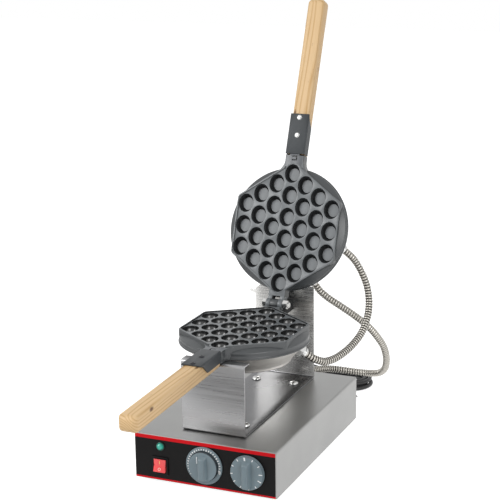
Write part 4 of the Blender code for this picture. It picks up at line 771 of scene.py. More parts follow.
def neck_flare():
    """The casting's root at the neck: hollow curves from the neck's sides to the hexagon's edges.

    It stays a little off the neck's side planes and the hexagon's edges, where the joins would fail.
    """
    half = NECK_GRIP_WIDTH / 2
    across, along = FLARE
    corner = Vector((half, -HEX_TIP + half * HEX_SLOPE))
    start = corner - Vector((FLARE_SINK, along))
    end = Vector((half + across, -HEX_TIP + (half + across) * HEX_SLOPE + FLARE_SINK))
    right = curved(start, corner, end, FLARE_STEPS) + [tuple(end + Vector((-0.3 * across, across)))]
    return right + [(-x, y) for x, y in reversed(right)]


def cups():
    """A cutter for every column of cups, each with a rounded rim, a hollow wall and a flat floor."""
    radius = CUP_WIDTH / 2
    profile = [(0, OVERRUN), (radius + 2 * CUP_RIM, OVERRUN), (radius + CUP_RIM, TINY)]
    for step in range(1, CUP_RIM_STEPS + 1):
        angle = math.pi / 2 * step / CUP_RIM_STEPS
        profile.append((radius + CUP_RIM * (1 - math.sin(angle)), -CUP_RIM * (1 - math.cos(angle))))
    inward = (1 - CUP_FLOOR_SHARE) * radius / (1 - math.cos(CUP_WALL_TURN))
    fall = (CUP_DEPTH - CUP_RIM) / math.sin(CUP_WALL_TURN)
    for step in range(1, CUP_WALL_STEPS + 1):
        angle = CUP_WALL_TURN * step / CUP_WALL_STEPS
        profile.append((radius - inward * (1 - math.cos(angle)), -CUP_RIM - fall * math.sin(angle)))
    profile.append((0, -CUP_DEPTH))
    bowl = lathe(profile, CUP_STEPS, Matrix.Diagonal((1, CUP_LENGTH / CUP_WIDTH, 1, 1)))
    columns = []
    for column, count in enumerate(CUP_COLUMN_COUNTS):
        x = (column - len(CUP_COLUMN_COUNTS) // 2) * CUP_COLUMN_STEP
        places = [moved(x, (row - (count - 1) / 2) * CUP_PITCH, -FACE_SINK) for row in range(count)]
        columns.append(joined([placed(bowl.copy(), place) for place in places]))
    return columns


def knuckle(x, width):
    """A bored leaf of the hinge, round about the pin."""
    low = MOULD_BOTTOM + 0.0012
    reach = HINGE_NECK_START + OVERRUN
    outline = [(-reach, -MATING_GAP - 0.0008), (-reach, low)]
    outline += arc((0, 0), HINGE_BARREL_RADIUS, -math.pi / 2, math.pi / 2, 16)
    outline += arc((0, 0), HINGE_BARREL_RADIUS, math.pi / 2, math.pi, 6)[1:]
    leaf = slab(outline, -width / 2, width / 2, moved(x, MOULD_TO_HINGE, 0) @ Z_ALONG_X, 0.0006)
    middle, across = Vector((x, MOULD_TO_HINGE, 0)), Vector((width, 0, 0))
    return shaped(leaf, [rod(HINGE_BORE_RADIUS, middle - across, middle + across)])


MOULD_LOOKS = ("face", "side", "wall", "floor", "hinge", "neck")
EDGE = 0.0003
BEYOND = HEX_TIP + 0.001


def mould_look(made, side):
    """Faces by where they are: worked face, cup walls and floors, hinge, and the sides and back. The cup walls,
    the lip's inner wall and the lug's lines take near-black painted shade; the upper cups' floors take painted
    light, lighter than the face.
    """
    slot = TONGUE_WIDTH if side == "lower" else FORK_SLOT
    within = LIP_WIDTH / 2
    for face in made.data.polygons:
        x, y, z = face.center
        up = face.normal.z
        in_hex = abs(x) < HEX_HALF_WIDTH - within and abs(y) < HEX_TIP - within - abs(x) * HEX_SLOPE
        kind = "side"
        # Cup walls get near-black painted shade; the upper cups' floors get painted light.
        if in_hex and -FACE_SINK - CUP_DEPTH - TINY < z < -FACE_SINK - EDGE and up > -0.2:
            kind = "floor" if up > 0.93 else "wall"
        elif up > 0.5 and z > MOULD_TOP:
            kind = "neck" if y < -BEYOND else "face"
        # The lip's inner wall gets the cup walls' painted shade.
        elif in_hex and -FACE_SINK - TINY < z < -0.0004:
            kind = "wall"
        # The lug's engraved lines get painted shade, so that they show.
        if y < -BEYOND and abs(y + LUG_PLACE) < 0.006 and -FACE_SINK - 0.003 < z < -FACE_SINK - EDGE:
            kind = "wall"
        if y > BEYOND:
            between = abs(x) < slot / 2 + TINY
            if side == "lower":
                kind = "side" if between and y > MOULD_TO_HINGE - HINGE_BARREL_RADIUS else "hinge"
            else:
                clear = y > MOULD_TO_HINGE - HINGE_NECK_START - OVERRUN + TINY
                kind = "hinge" if between and clear else "face"
        face.material_index = MOULD_LOOKS.index(kind)


def mould(side):
    """One casting: a round body under a six-sided face, with its cups, hinge leaves and grip neck.

    The order of the joins and cuts, and the small steps between their faces, keep the booleans whole.
    """
    matrix, body = SIDES[side]
    wall, bottom, bead = MOULD_RADIUS, MOULD_BOTTOM, MOULD_RADIUS + BEAD_PROUD
    outer = softened([
        (SHOULDER_RADIUS - 0.004, MOULD_TOP), (SHOULDER_RADIUS, MOULD_TOP), (wall - 0.0006, SHOULDER),
        (wall, SHOULDER - 0.0016), (wall - 0.0008, bottom + 2.2 * BEAD_HEIGHT),
        (wall - 0.0002, bottom + BEAD_HEIGHT), (bead, bottom + BEAD_HEIGHT - 0.0004), (bead, bottom),
        (wall - MOULD_WALL, bottom), (wall - MOULD_WALL, PLATE_BACK), (BOSS_RADIUS, PLATE_BACK),
        (BOSS_RADIUS, BOSS_END), (BOSS_RADIUS / 2, BOSS_END),
    ], 0.0009, 3)
    casting = lathe([(0, MOULD_TOP)] + outer + [(0, BOSS_END)], 120)
    inner = HEX_SIDE_HALF + HEX_HALF_WIDTH * HEX_SLOPE / 2
    back = MOULD_TO_HINGE - HINGE_NECK_START
    joins = [
        slab(hexagon(), SHOULDER - 0.002, -MATING_GAP, None, 0.0007),
        block((NECK_WIDTH, back - inner, NECK_TOP - NECK_BOTTOM),
              (0, (inner + back) / 2, (NECK_TOP + NECK_BOTTOM) / 2), 0.0015),
        block((NECK_GRIP_WIDTH, NECK_END - inner, GRIP_TOP - NECK_BOTTOM),
              (0, -(inner + NECK_END) / 2, (GRIP_TOP + NECK_BOTTOM) / 2), 0.0018),
    ]
    if side == "upper":
        leaf = (FORK_WIDTH - FORK_SLOT) / 2
        joins += [knuckle(hand * (FORK_SLOT + leaf) / 2, leaf) for hand in (-1, 1)]
    else:
        joins.append(knuckle(0, TONGUE_WIDTH))
        wall_front = Vector((0, STAND_BACK - STAND_SHEET - CLEARANCE, 0))
        end = ((TO_MACHINE @ matrix).inverted() @ wall_front).y
        start, height = back - OVERRUN, -BLOCK_DROP - bottom - 0.0012
        centre = (0, (start + end) / 2, -BLOCK_DROP - height / 2)
        joins.append(block((BLOCK_WIDTH, end - start, height), centre, 0.0012))
    width, length, thick = TANG_SIZE
    tang_place = (0, OVERRUN / 2 - length / 2, -SLEEVE_SHEET - CLEARANCE - thick / 2)
    joins.append(placed(block((width, length + OVERRUN, thick), tang_place), GRIP))
    joins.append(slab(neck_flare(), NECK_BOTTOM - 0.0002, GRIP_TOP - 0.0003, None, 0.0006))
    cuts = cups() + [
        slab(face_recess(), -FACE_SINK, OVERRUN),
        rod(BOLT_HOLE_RADIUS, (0, 0, BOSS_END - OVERRUN), (0, 0, PLATE_BACK - CLEARANCE)),
    ]
    if side == "lower":
        for x in (-BLOCK_BOLT_X, BLOCK_BOLT_X):
            ends = [(x, y, BLOCK_MIDDLE) for y in (end - BLOCK_BOLT_REACH, end + OVERRUN)]
            cuts.append(rod(BOLT_HOLE_RADIUS, *ends))
    wide, deep = LUG_SIZE
    for x, y, size in ((0, deep / 2, (wide, LUG_LINE)), (0, -deep / 2, (wide, LUG_LINE)),
                       (-wide / 2, 0, (LUG_LINE, deep + LUG_LINE))):
        cuts.append(block((*size, LUG_DEPTH), (x, y - LUG_PLACE, -FACE_SINK)))
    # The cup walls take painted shade in both moulds, and the lower cups' floors take it too.
    inside = ["shaded_cup_wall", "lit_cup_floor"] if side == "upper" else ["shaded_cup_gloss", "shaded_cup_gloss"]
    # The upper cups' floors take painted light, lighter than the face.
    looks = ["mould_iron", "mould_side", *inside, "hinge_iron", "neck_iron"]
    made = piece(side + "_casting", shaped(casting, cuts, joins), matrix, body, "mould_iron",
                 [side + "_mould"], looks, 32.0)
    mould_look(made, side)


# Covers, their screws, and the hose fittings

COVER_SHEET = 0.001
COVER_BOTTOM_RADIUS = 0.0705
COVER_CONE_END = COVER_TOP - COVER_CONE_DEPTH
COVER_BOTTOM = COVER_CONE_END - 0.005
COVER_SCREW_RADIUS = 0.003
COVER_HEAD_RADIUS = 0.008
COVER_HEAD = 0.004
COVER_SLOT = (2.4 * COVER_HEAD_RADIUS, 0.0014, 0.0026)
FITTING_RADIUS = 0.0075
FITTING_HEX = (0.0105, -0.016, 0.005)


def cover(side):
    """A spun dish of sheet with a rounded foot, and the screw in its middle."""
    matrix, body = SIDES[side]
    sheet, hole = COVER_SHEET, COVER_SCREW_RADIUS + CLEARANCE
    outer = softened([
        (COVER_RIM_RADIUS, COVER_TOP), (COVER_CONE_RADIUS, COVER_CONE_END),
        (COVER_BOTTOM_RADIUS, COVER_BOTTOM), (hole, COVER_BOTTOM),
    ], 0.010, 8)
    inner = softened([
        (hole, COVER_BOTTOM + sheet), (COVER_BOTTOM_RADIUS - sheet / 2, COVER_BOTTOM + sheet),
        (COVER_CONE_RADIUS - 1.3 * sheet, COVER_CONE_END), (COVER_RIM_RADIUS - 1.4 * sheet, COVER_TOP),
    ], 0.010, 8)
    dish = lathe(outer + inner + outer[:1], 128)
    piece(side + "_dish", dish, matrix, body, "cover_steel", [side + "_cover"], sharp=40.0)
    under, tip = COVER_BOTTOM - CLEARANCE, PLATE_BACK - 2 * CLEARANCE
    head = lathe(softened([
        (0.0, tip), (COVER_SCREW_RADIUS, tip), (COVER_SCREW_RADIUS, under), (COVER_HEAD_RADIUS, under),
        (COVER_HEAD_RADIUS, under - 0.0016), (0.62 * COVER_HEAD_RADIUS, under - COVER_HEAD),
        (0.0, under - COVER_HEAD),
    ], 0.0012, 3), 40)
    slot = block(COVER_SLOT, (0, 0, under - COVER_HEAD))
    mesh = shaped(head, [slot])
    piece(side + "_dish_screw", mesh, matrix, body, "bolt_steel", [side + "_cover_screw"])


def fitting(node_name, place, seat, body):
    """A hexagon and a ferrule that carry a hose, seated on a cover."""
    radius, low, high = FITTING_HEX
    full, neck = FITTING_RADIUS, FITTING_RADIUS - 0.0007
    ferrule = lathe(softened([
        (0, FITTING_LENGTH), (full - 0.0009, FITTING_LENGTH), (full, FITTING_LENGTH - 0.001),
        (full, 0.0082), (neck, 0.0076), (neck, 0.0066), (full, 0.006), (full, 0.0), (0, 0.0),
    ], 0.0004, 2), 36)
    rim, above = COVER_RIM_RADIUS + CLEARANCE, COVER_TOP + 0.03
    outside = [(0, above), (rim, above), (rim, COVER_TOP),
               (COVER_CONE_RADIUS + CLEARANCE, COVER_CONE_END),
               (COVER_BOTTOM_RADIUS + CLEARANCE, COVER_BOTTOM), (0, COVER_BOTTOM)]
    six = slab(round_of(radius, 6), low, high, None, 0.0006)
    mesh = shaped(six, [lathe(outside, 96, place.inverted() @ seat)], [ferrule])
    piece(node_name + "_shape", mesh, place, body, "bolt_steel", [node_name])


# Sleeves, handles and their screws

SLEEVE_LENGTH = 0.065
SLEEVE_SIDE = 0.0170
SLEEVE_TAB_BACK = 0.021
SLEEVE_BEND = 0.0026
SLEEVE_TURN = Matrix(((1, 0, 0), (0, 0, -1), (0, 1, 0))).to_4x4()
HANDLE_WIDTH = 0.028
HANDLE_THICKNESS = 0.024
HANDLE_LENGTH = 0.2565
HANDLE_CORNER = 0.0050
HANDLE_END_ROUND = 0.0085
HANDLE_ROUND_STEPS = 6
SCREW_PLACES = (0.030, 0.059)
SCREW_RADIUS = 0.002
SCREW_HEAD_RADIUS = 0.0040
SCREW_HEAD = 0.0008
SCREW_LENGTH = 0.018
SCREW_CROSS = (0.0044, 0.0009, 0.0009)


def rounded_section(width, thickness, corner):
    """A rectangle with round corners, about its middle."""
    x, z = width / 2 - corner, thickness / 2 - corner
    outline = []
    for quarter, (across, up) in enumerate(((1, 1), (-1, 1), (-1, -1), (1, -1))):
        start = quarter * math.pi / 2
        outline += arc((across * x, up * z), corner, start, start + math.pi / 2, 5)
    return outline


def handle(side):
    """A wooden bar with round edges and a rounder free end, slotted for the casting's tang."""
    matrix, body = SIDES[side]
    stations = [(0.0, 0.0006), (0.0006, 0.0)]
    for step in range(HANDLE_ROUND_STEPS + 1):
        angle = math.pi / 2 * step / HANDLE_ROUND_STEPS
        stations.append((HANDLE_LENGTH - HANDLE_END_ROUND * (1 - math.sin(angle)),
                         HANDLE_END_ROUND * (1 - math.cos(angle))))
    rings = []
    for along, inset in stations:
        corner = max(HANDLE_CORNER - 0.3 * inset, 0.001)
        section = rounded_section(HANDLE_WIDTH - 2 * inset, HANDLE_THICKNESS - 2 * inset, corner)
        rings.append([(x, -along, z) for x, z in section])
    width, length, thick = TANG_SIZE
    reach = CLEARANCE + OVERRUN
    size = (width + 2 * CLEARANCE, length + reach, thick + reach)
    centre = (0, OVERRUN - size[1] / 2, HANDLE_THICKNESS / 2 - thick - CLEARANCE + size[2] / 2)
    mesh = shaped(mesh_of(lofted(rings)), [block(size, centre)])
    place = matrix @ GRIP @ moved(0, -CLEARANCE, -SLEEVE_SHEET - CLEARANCE - HANDLE_THICKNESS / 2)
    piece(side + "_grip_bar", mesh, place, body, "handle_wood", [side + "_handle"], sharp=50.0)


def sleeve(side):
    """A channel bent from sheet over the handle's root, cut back to a point, and its screws."""
    matrix, body = SIDES[side]
    outer = HANDLE_WIDTH / 2 + CLEARANCE + SLEEVE_SHEET
    inner = outer - SLEEVE_SHEET
    foot, under = -SLEEVE_SIDE, -SLEEVE_SHEET
    outline = [(-outer, foot)]
    outline += softened([(-outer, foot), (-outer, 0), (outer, 0), (outer, foot)], SLEEVE_BEND, 6)[1:]
    outline += softened([(inner, foot), (inner, under), (-inner, under), (-inner, foot)], 0.001, 3)
    channel = slab(outline, 0, SLEEVE_LENGTH, SLEEVE_TURN, 0.0003)
    end, back = -SLEEVE_LENGTH, SLEEVE_TAB_BACK - SLEEVE_LENGTH
    corner = softened([
        (end - OVERRUN, under), (end + 0.004, under - 0.0002), (back, foot - CLEARANCE),
        (back, foot - OVERRUN), (end - OVERRUN, foot - OVERRUN),
    ], 0.003, 4)
    cuts = [slab(corner, -outer - OVERRUN, outer + OVERRUN, Z_ALONG_X)]
    for reach in SCREW_PLACES:
        ends = [(0, -reach, z) for z in (under - OVERRUN, OVERRUN)]
        cuts.append(rod(SCREW_RADIUS + CLEARANCE, *ends))
    place = matrix @ GRIP
    piece(side + "_channel", shaped(channel, cuts), place, body, "sleeve_iron", [side + "_sleeve"])
    paint = "screw_dark" if side == "lower" else "bolt_steel"
    for number, reach in enumerate(SCREW_PLACES, 1):
        head = softened([
            (0.0, SCREW_HEAD), (0.55 * SCREW_HEAD_RADIUS, SCREW_HEAD), (SCREW_HEAD_RADIUS, 0.0002),
            (SCREW_HEAD_RADIUS, 0.0), (SCREW_RADIUS, 0.0), (SCREW_RADIUS, -SCREW_LENGTH),
            (0.0, -SCREW_LENGTH),
        ], 0.0004, 3)
        mesh = shaped(lathe(head, 28), cross(*SCREW_CROSS, SCREW_HEAD))
        at = place @ moved(0, -reach, CLEARANCE) @ turned(0.6 * number, "Z")
        piece(f"{side}_screw_{number}", mesh, at, body, "bolt_steel",
              [f"{side}_sleeve_screw_{number}"], [paint])


for side in SIDES:
    mould(side)
    cover(side)
    handle(side)
    sleeve(side)
fitting("lower_hose_fitting", low_side[2], LOWER, ROOT)
fitting("upper_hose_fitting_1", high_side[2], UPPER_PLACE, UPPER)
fitting("upper_hose_fitting_2", high_back[2], UPPER_PLACE, UPPER)


# Stand, its bolts and the hinge's bolt

HINGE_Y = 0.2705
HINGE_Z = BASE_HEIGHT + 0.1305
STAND_WIDTH = 0.100
STAND_FRONT = 0.0335
STAND_BEND = 0.004
STAND_FLANGE = 0.018
STAND_FOOT_Z = BASE_HEIGHT + CLEARANCE
STAND_TOP = HINGE_Z + MOULD_BOTTOM - CLEARANCE
STAND_CORNER = (0.013, 0.011)
STAND_EAR = (0.010, 0.006, 0.004)
STAND_BOLTS = [(x, y) for y in (0.075, 0.268) for x in (-0.032, 0.032)]
BLOCK_BOLTS_Z = HINGE_Z + BLOCK_MIDDLE
BOLT_HEAD = (0.0070, 0.0042)
BOLT_CROSS = (0.0072, 0.0011, 0.0030)
BOLT_LENGTH = 0.012
BLOCK_BOLT_DEPTH = 0.014
HINGE_HEAD_RADIUS = 0.0072
HINGE_CROWN_RADIUS = 0.0080
HINGE_HEAD_HEIGHT = 0.0062
HINGE_NUT_HEIGHT = 0.0078
HINGE_PIN_END = 0.003
THREAD_PITCH = 0.0008


def stand():
    """One sheet: a front wall with a turned-in top, a floor, and a back wall, cut at one corner. The back wall
    takes painted light and the floor painted shade, as lighter and darker copies of the steel.
    """
    half, sheet, bend = STAND_WIDTH / 2, STAND_SHEET, STAND_BEND
    rear_top = (TO_MACHINE @ Vector(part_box("stand_bracket")[1])).z
    front, back, foot, top = STAND_FRONT, STAND_BACK, STAND_FOOT_Z, STAND_TOP
    right = math.pi / 2
    centres = [(front + bend, top - bend), (front + bend, foot + bend), (back - bend, foot + bend)]
    outline = [(front + STAND_FLANGE, top)]
    for number, centre in enumerate(centres):
        outline += arc(centre, bend, (number + 1) * right, (number + 2) * right, 8)
    outline += [(back, rear_top), (back - sheet, rear_top)]
    for number in (2, 1, 0):
        outline += arc(centres[number], bend - sheet, (number + 2) * right, (number + 1) * right, 8)
    outline.append((front + STAND_FLANGE, top - sheet))
    bent = slab(outline, -half, half, Z_ALONG_X, 0.0003)
    run, drop = STAND_CORNER
    corner = [(-half - OVERRUN, rear_top - drop), (-half, rear_top - drop), (-half + run, rear_top),
              (-half + run, rear_top + OVERRUN), (-half - OVERRUN, rear_top + OVERRUN)]
    reach, tall, lip = STAND_EAR
    high = rear_top - drop - lip
    ear = softened([
        (-half + OVERRUN, high - tall), (-half + OVERRUN, high),
        (-half - reach, high + lip / 2), (-half - reach, high - lip / 2),
    ], 0.0006, 2, closed=True)
    ear = slab(ear, sheet * 0.05 - back, sheet * 0.95 - back, Z_OUT_OF_FRONT, 0.0002)
    cuts = [slab(corner, -back - OVERRUN, sheet + OVERRUN - back, Z_OUT_OF_FRONT)]
    for x, y in sorted(STAND_BOLTS):
        cuts.append(rod(BOLT_HOLE_RADIUS, (x, y, foot - OVERRUN), (x, y, foot + OVERRUN)))
    for x in (-BLOCK_BOLT_X, BLOCK_BOLT_X):
        ends = [(x, y, BLOCK_BOLTS_Z) for y in (back - OVERRUN, back + OVERRUN)]
        cuts.append(rod(BOLT_HOLE_RADIUS, *ends))
    made = piece("bent_stand", shaped(bent, cuts, [ear]), MACHINE, ROOT, "stainless_steel",
                 ["stand_bracket"], ["stand_steel", "lit_back_steel", "shaded_tray_steel"], 30.0)
    # The floor takes painted shade and the back wall painted light.
    for face in made.data.polygons:
        on_shaded_tray = face.center.z < foot + 2 * sheet and face.normal.z > 0.5
        face.material_index = 2 if on_shaded_tray else int(face.center.y > back - sheet - TINY)


def domed_bolt(node_name, place, length):
    """A bolt with a low round head and a cross in it, turned a little by where it is."""
    radius, height = BOLT_HEAD
    outline = softened([
        (0.0, height), (0.45 * radius, 0.97 * height), (0.86 * radius, 0.62 * height),
        (radius, 0.22 * height), (radius, 0.0), (BOLT_RADIUS, 0.0), (BOLT_RADIUS, -length),
        (0.0, -length),
    ], 0.0012, 3)
    place = MACHINE @ place
    mesh = shaped(lathe(outline, 40), cross(*BOLT_CROSS, height))
    place = place @ turned(0.5 + place.translation.x * 40, "Z")
    piece(node_name + "_shape", mesh, place, BODY_OF[node_name], "bolt_steel", [node_name], sharp=32.0)


def hinge_bolt():
    """The pin with its hexagon head and washer face, and the nut with the pin's end through it."""
    along = MACHINE @ moved(0, HINGE_Y, HINGE_Z) @ turned(math.pi / 2, "Y")
    half, pin, full = FORK_WIDTH / 2 + CLEARANCE, HINGE_PIN_RADIUS, HINGE_CROWN_RADIUS
    low, top = -half - HINGE_HEAD_HEIGHT, half + HINGE_NUT_HEIGHT
    six = round_of(HINGE_HEAD_RADIUS, 6)
    crown = lathe([(0, low - 0.0001), (0.0056, low - 0.0001), (full, low + 0.0014),
                   (full, -half + 0.001), (0, -half + 0.001)], 48)
    head = shaped(slab(six, low, -half, None, 0.0002), limits=[crown])
    start, pin_end = top - 0.002, top + HINGE_PIN_END + CLEARANCE
    shank = [(0.0, -half - 0.002), (pin, -half - 0.002), (pin, start)]
    for turn in range(int((pin_end - start) / THREAD_PITCH)):
        shank += [(pin - 0.0004, start + (turn + 0.5) * THREAD_PITCH),
                  (pin, start + (turn + 1) * THREAD_PITCH)]
    shank += [(pin - 0.0007, pin_end), (0.0, pin_end)]
    bolt = shaped(head, joins=[lathe(shank, 32)])
    piece("hinge_pin", bolt, along, BODY_OF["hinge_bolt"], "bolt_steel", ["hinge_bolt"], sharp=32.0)
    crown = lathe([(0, half - 0.0001), (0.0062, half - 0.0001), (full, half + 0.0011),
                   (full, top - 0.0011), (0.0062, top + 0.0001), (0, top + 0.0001)], 48)
    nut = shaped(slab(six, half, top, None, 0.0002), limits=[crown])
    nut = shaped(nut, [rod(HINGE_BORE_RADIUS, (0, 0, half - 0.002), (0, 0, top + 0.002))])
    piece("pin_nut", nut, along, BODY_OF["hinge_nut"], "bolt_steel", ["hinge_nut"], sharp=32.0)


stand()
for number, (x, y) in enumerate(STAND_BOLTS, 1):
    domed_bolt(f"stand_bolt_{number}", moved(x, y, STAND_FOOT_Z + STAND_SHEET + CLEARANCE), BOLT_LENGTH)
for number, x in enumerate((-BLOCK_BOLT_X, BLOCK_BOLT_X), 1):
    place = moved(x, STAND_BACK + CLEARANCE, BLOCK_BOLTS_Z) @ Z_OUT_OF_BACK
    domed_bolt(f"block_bolt_{number}", place, STAND_SHEET + BLOCK_BOLT_DEPTH)
hinge_bolt()


# Front: lamp, rocker and dials

FRONT = -0.0013
DIAL_Z = 0.035
DIAL_FLANGE = 0.0025
DIAL_GAP = 0.0009
SPINDLE_RADIUS = 0.003
SPINDLE_IN_DIAL = 0.0065
DIAL_BAR_TOP = 0.0145
DIAL_BAR_ENDS = ((-0.90, 0.80, 0.0074), (-0.84, 0.60, 0.0042))
TICK_HEIGHT = 0.0003
SCALE_TICKS = 27
SCALE_START = -125
SCALE_STEP = 9.0
SCALE_POINTER = (104, 108)
BAR_LINE = ((0.0014, 0.0100, 0.0006), (-0.0086, 0.0096, 0.0077))
TIMER_POINTER = -7
TIMER_TICKS = (24, 54, 86, 114, 142, 172, 204, 234, 264, 294, 324)
TIMER_LONG_TICKS = (86, 114)
TIMER_TICKS_Z = DIAL_FLANGE + 0.0035
LAMP_X, LAMP_Z = -0.308 * BASE_WIDTH, 0.054
LAMP_RADIUS = 0.0065
LAMP_FACETS = 9
ROCKER_X, ROCKER_Z = -0.3125 * BASE_WIDTH, 0.024
ROCKER_WIDTH = 0.0190
ROCKER_HEIGHT = 0.0194
ROCKER_CROWN = 0.0046
ROCKER_VALLEY = 0.0030
ROCKER_HEEL = 0.0045
ROCKER_HEEL_INSET = 0.0012
ROCKER_LEAN = math.radians(9.0)
ROCKER_TURN = Matrix(((0, 0, 1), (0, -1, 0), (1, 0, 0))).to_4x4()
ROCKER_WALL = 0.0013
ROCKER_GAP = 0.0005
ROCKER_RIM = 0.0016
ROCKER_FLANGE = 0.0016
ROCKER_BODY_DEPTH = 0.018
ROCKER_FLOOR = 0.003
MARK_REACH = 0.0050
ON_MARK_SIZE = (0.0048, 0.0002, 0.0010)
OFF_MARK_RING = (
    (0.0023, 0.0001), (0.0023, -0.0001), (0.0015, -0.0001), (0.0015, 0.0001), (0.0023, 0.0001),
)


def on_panel(x, z):
    """A place on the front panel, with +Z out of it and +Y up."""
    return MACHINE @ moved(x, FRONT - CLEARANCE, z) @ Z_OUT_OF_FRONT


def indicator():
    """A faceted lens in a plain bezel."""
    place = on_panel(LAMP_X, LAMP_Z)
    lens = lathe([(0, 0.0058), (0.0024, 0.0056), (0.0046, 0.0036), (0.0055, 0.0008),
                  (0.0050, 0.0008), (0.0050, -0.020), (0, -0.020)], LAMP_FACETS)
    piece("faceted_lens", lens, place, ROOT, "lamp_green", ["indicator_lamp"], sharp=0.0)
    ring = softened([(0.0052, 0.0), (LAMP_RADIUS, 0.0), (LAMP_RADIUS, 0.0017), (0.0056, 0.0020),
                     (0.0052, 0.0012)], 0.0004, 2)
    piece("lens_bezel", lathe(ring + ring[:1], 48), place, ROOT, "lamp_green", looks=["lamp_bezel"])


def rocker():
    """The rocker in its frame, with a bar on its on side and a ring on its off side."""
    tallest = ROCKER_HEIGHT * math.cos(ROCKER_LEAN) + 2 * ROCKER_CROWN * math.sin(ROCKER_LEAN)
    pocket = (ROCKER_WIDTH + 2 * ROCKER_GAP, tallest + 2 * ROCKER_GAP)
    outer = [size + 2 * ROCKER_WALL for size in pocket]
    flange = [size + 2 * ROCKER_RIM for size in outer]
    rim = block((*flange, ROCKER_FLANGE), (0, 0, ROCKER_FLANGE / 2), 0.0006)
    depth = ROCKER_BODY_DEPTH + ROCKER_FLANGE / 2
    box = block((*outer, depth), (0, 0, ROCKER_FLANGE / 2 - depth / 2), 0.0003)
    deep = ROCKER_BODY_DEPTH - ROCKER_FLOOR + ROCKER_FLANGE + OVERRUN
    inside = block((*pocket, deep), (0, 0, ROCKER_FLANGE + OVERRUN - deep / 2))
    place = on_panel(ROCKER_X, ROCKER_Z)
    piece("rocker_bezel", shaped(rim, [inside], [box]), place, ROOT, "black_plastic", ["rocker_frame"],
          ["rocker_black"])
    half = ROCKER_HEIGHT / 2
    foot = half - ROCKER_HEEL_INSET
    outline = [
        (-half, ROCKER_CROWN), (-foot, -ROCKER_HEEL / 2), (0, -ROCKER_HEEL),
        (foot, -ROCKER_HEEL / 2), (half, ROCKER_CROWN), (0, ROCKER_VALLEY),
    ]
    pivot = MACHINE @ moved(ROCKER_X, FRONT - CLEARANCE, ROCKER_Z)
    pivot = pivot @ turned(-ROCKER_LEAN, "X") @ ROCKER_TURN
    wide, body = ROCKER_WIDTH / 2, BODY_OF["rocker"]
    key = slab(softened(outline, 0.0009, 4, closed=True), -wide, wide, None, 0.0006, 3)
    piece("rocker_key", key, pivot, body, "rocker_red", ["rocker"], sharp=40.0)
    slope = math.atan2(ROCKER_CROWN - ROCKER_VALLEY, half)
    level = ROCKER_VALLEY + (ROCKER_CROWN - ROCKER_VALLEY) * MARK_REACH / half
    marks = {"on_mark": block(ON_MARK_SIZE), "off_mark": lathe(OFF_MARK_RING, 32, Z_OUT_OF_BACK)}
    for hand, (name, mesh) in zip((1, -1), marks.items()):
        place = pivot @ moved(hand * MARK_REACH, level, 0) @ turned(hand * slope, "Z")
        piece(name, mesh, place, body, "terminal_plastic", looks=[name])


def dial_bar(foot, disc_radius):
    """The bar of a dial: narrower at its face than at its foot, and cut back at its upper end."""
    low = foot - 0.001
    rings = []
    for (bottom, top, half), z in zip(DIAL_BAR_ENDS, (low, DIAL_BAR_TOP)):
        bottom, top = bottom * disc_radius, top * disc_radius
        rings.append([(-half, bottom, z), (half, bottom, z), (half, top, z), (-half, top, z)])
    shape = lofted(rings)
    edges = [edge for edge in shape.edges if max(corner.co.z for corner in edge.verts) > low + TINY]
    softened_edges(shape, edges, 0.0021, 5)
    return mesh_of(shape)


def dial(node_name, x, flange_radius, disc_radius, disc_height, ticks, bars=()):
    """A knob and its print: ticks of (degrees clockwise from the top, radii, width, Z), and bars."""
    body, place = BODY_OF[node_name], on_panel(x, DIAL_Z)
    top, beyond = DIAL_FLANGE + disc_height, disc_radius + DIAL_GAP
    stepped = disc_radius < 0.9 * flange_radius
    outline = [(0.0, top - 0.0004), (0.72 * disc_radius, top - 0.0004), (disc_radius, top)]
    if stepped:
        outline += [(disc_radius, DIAL_FLANGE - 0.0008), (beyond, DIAL_FLANGE - 0.0008),
                    (beyond, DIAL_FLANGE), (flange_radius - 0.0006, DIAL_FLANGE)]
    else:
        outline += [(disc_radius, DIAL_FLANGE), (flange_radius - 0.0003, DIAL_FLANGE)]
    outline += [(flange_radius, DIAL_FLANGE - 0.0006), (flange_radius, 0.0), (0.0, 0.0)]
    bore = rod(SPINDLE_RADIUS + CLEARANCE, (0, 0, -OVERRUN), (0, 0, SPINDLE_IN_DIAL + CLEARANCE))
    mesh = shaped(lathe(softened(outline, 0.0007, 3), 128), [bore], [dial_bar(top, disc_radius)])
    piece(node_name + "_shape", mesh, place, body, "knob_plastic", [node_name],
          ["knob_plastic", "shaded_knob_groove"], 34.0)
    # The wall at the disc's foot and the groove round it take dark painted shade.
    for face in mesh.polygons:
        across = math.hypot(face.center.x, face.center.y)
        in_shaded_groove = disc_radius - 0.0003 < across < beyond and face.center.z < top - 0.0012
        face.material_index = int(in_shaded_groove and stepped)
    lines = []
    for degrees, inner, outer, width, z in ticks:
        tick = block((width, outer - inner, TICK_HEIGHT), (0, (inner + outer) / 2, z))
        lines.append(placed(tick, turned(-math.radians(degrees), "Z")))
    lines += [block(size, centre, 0.00012) for size, centre in bars]
    piece(node_name + "_print", joined(lines), place, body, "terminal_plastic", looks=["dial_print"])


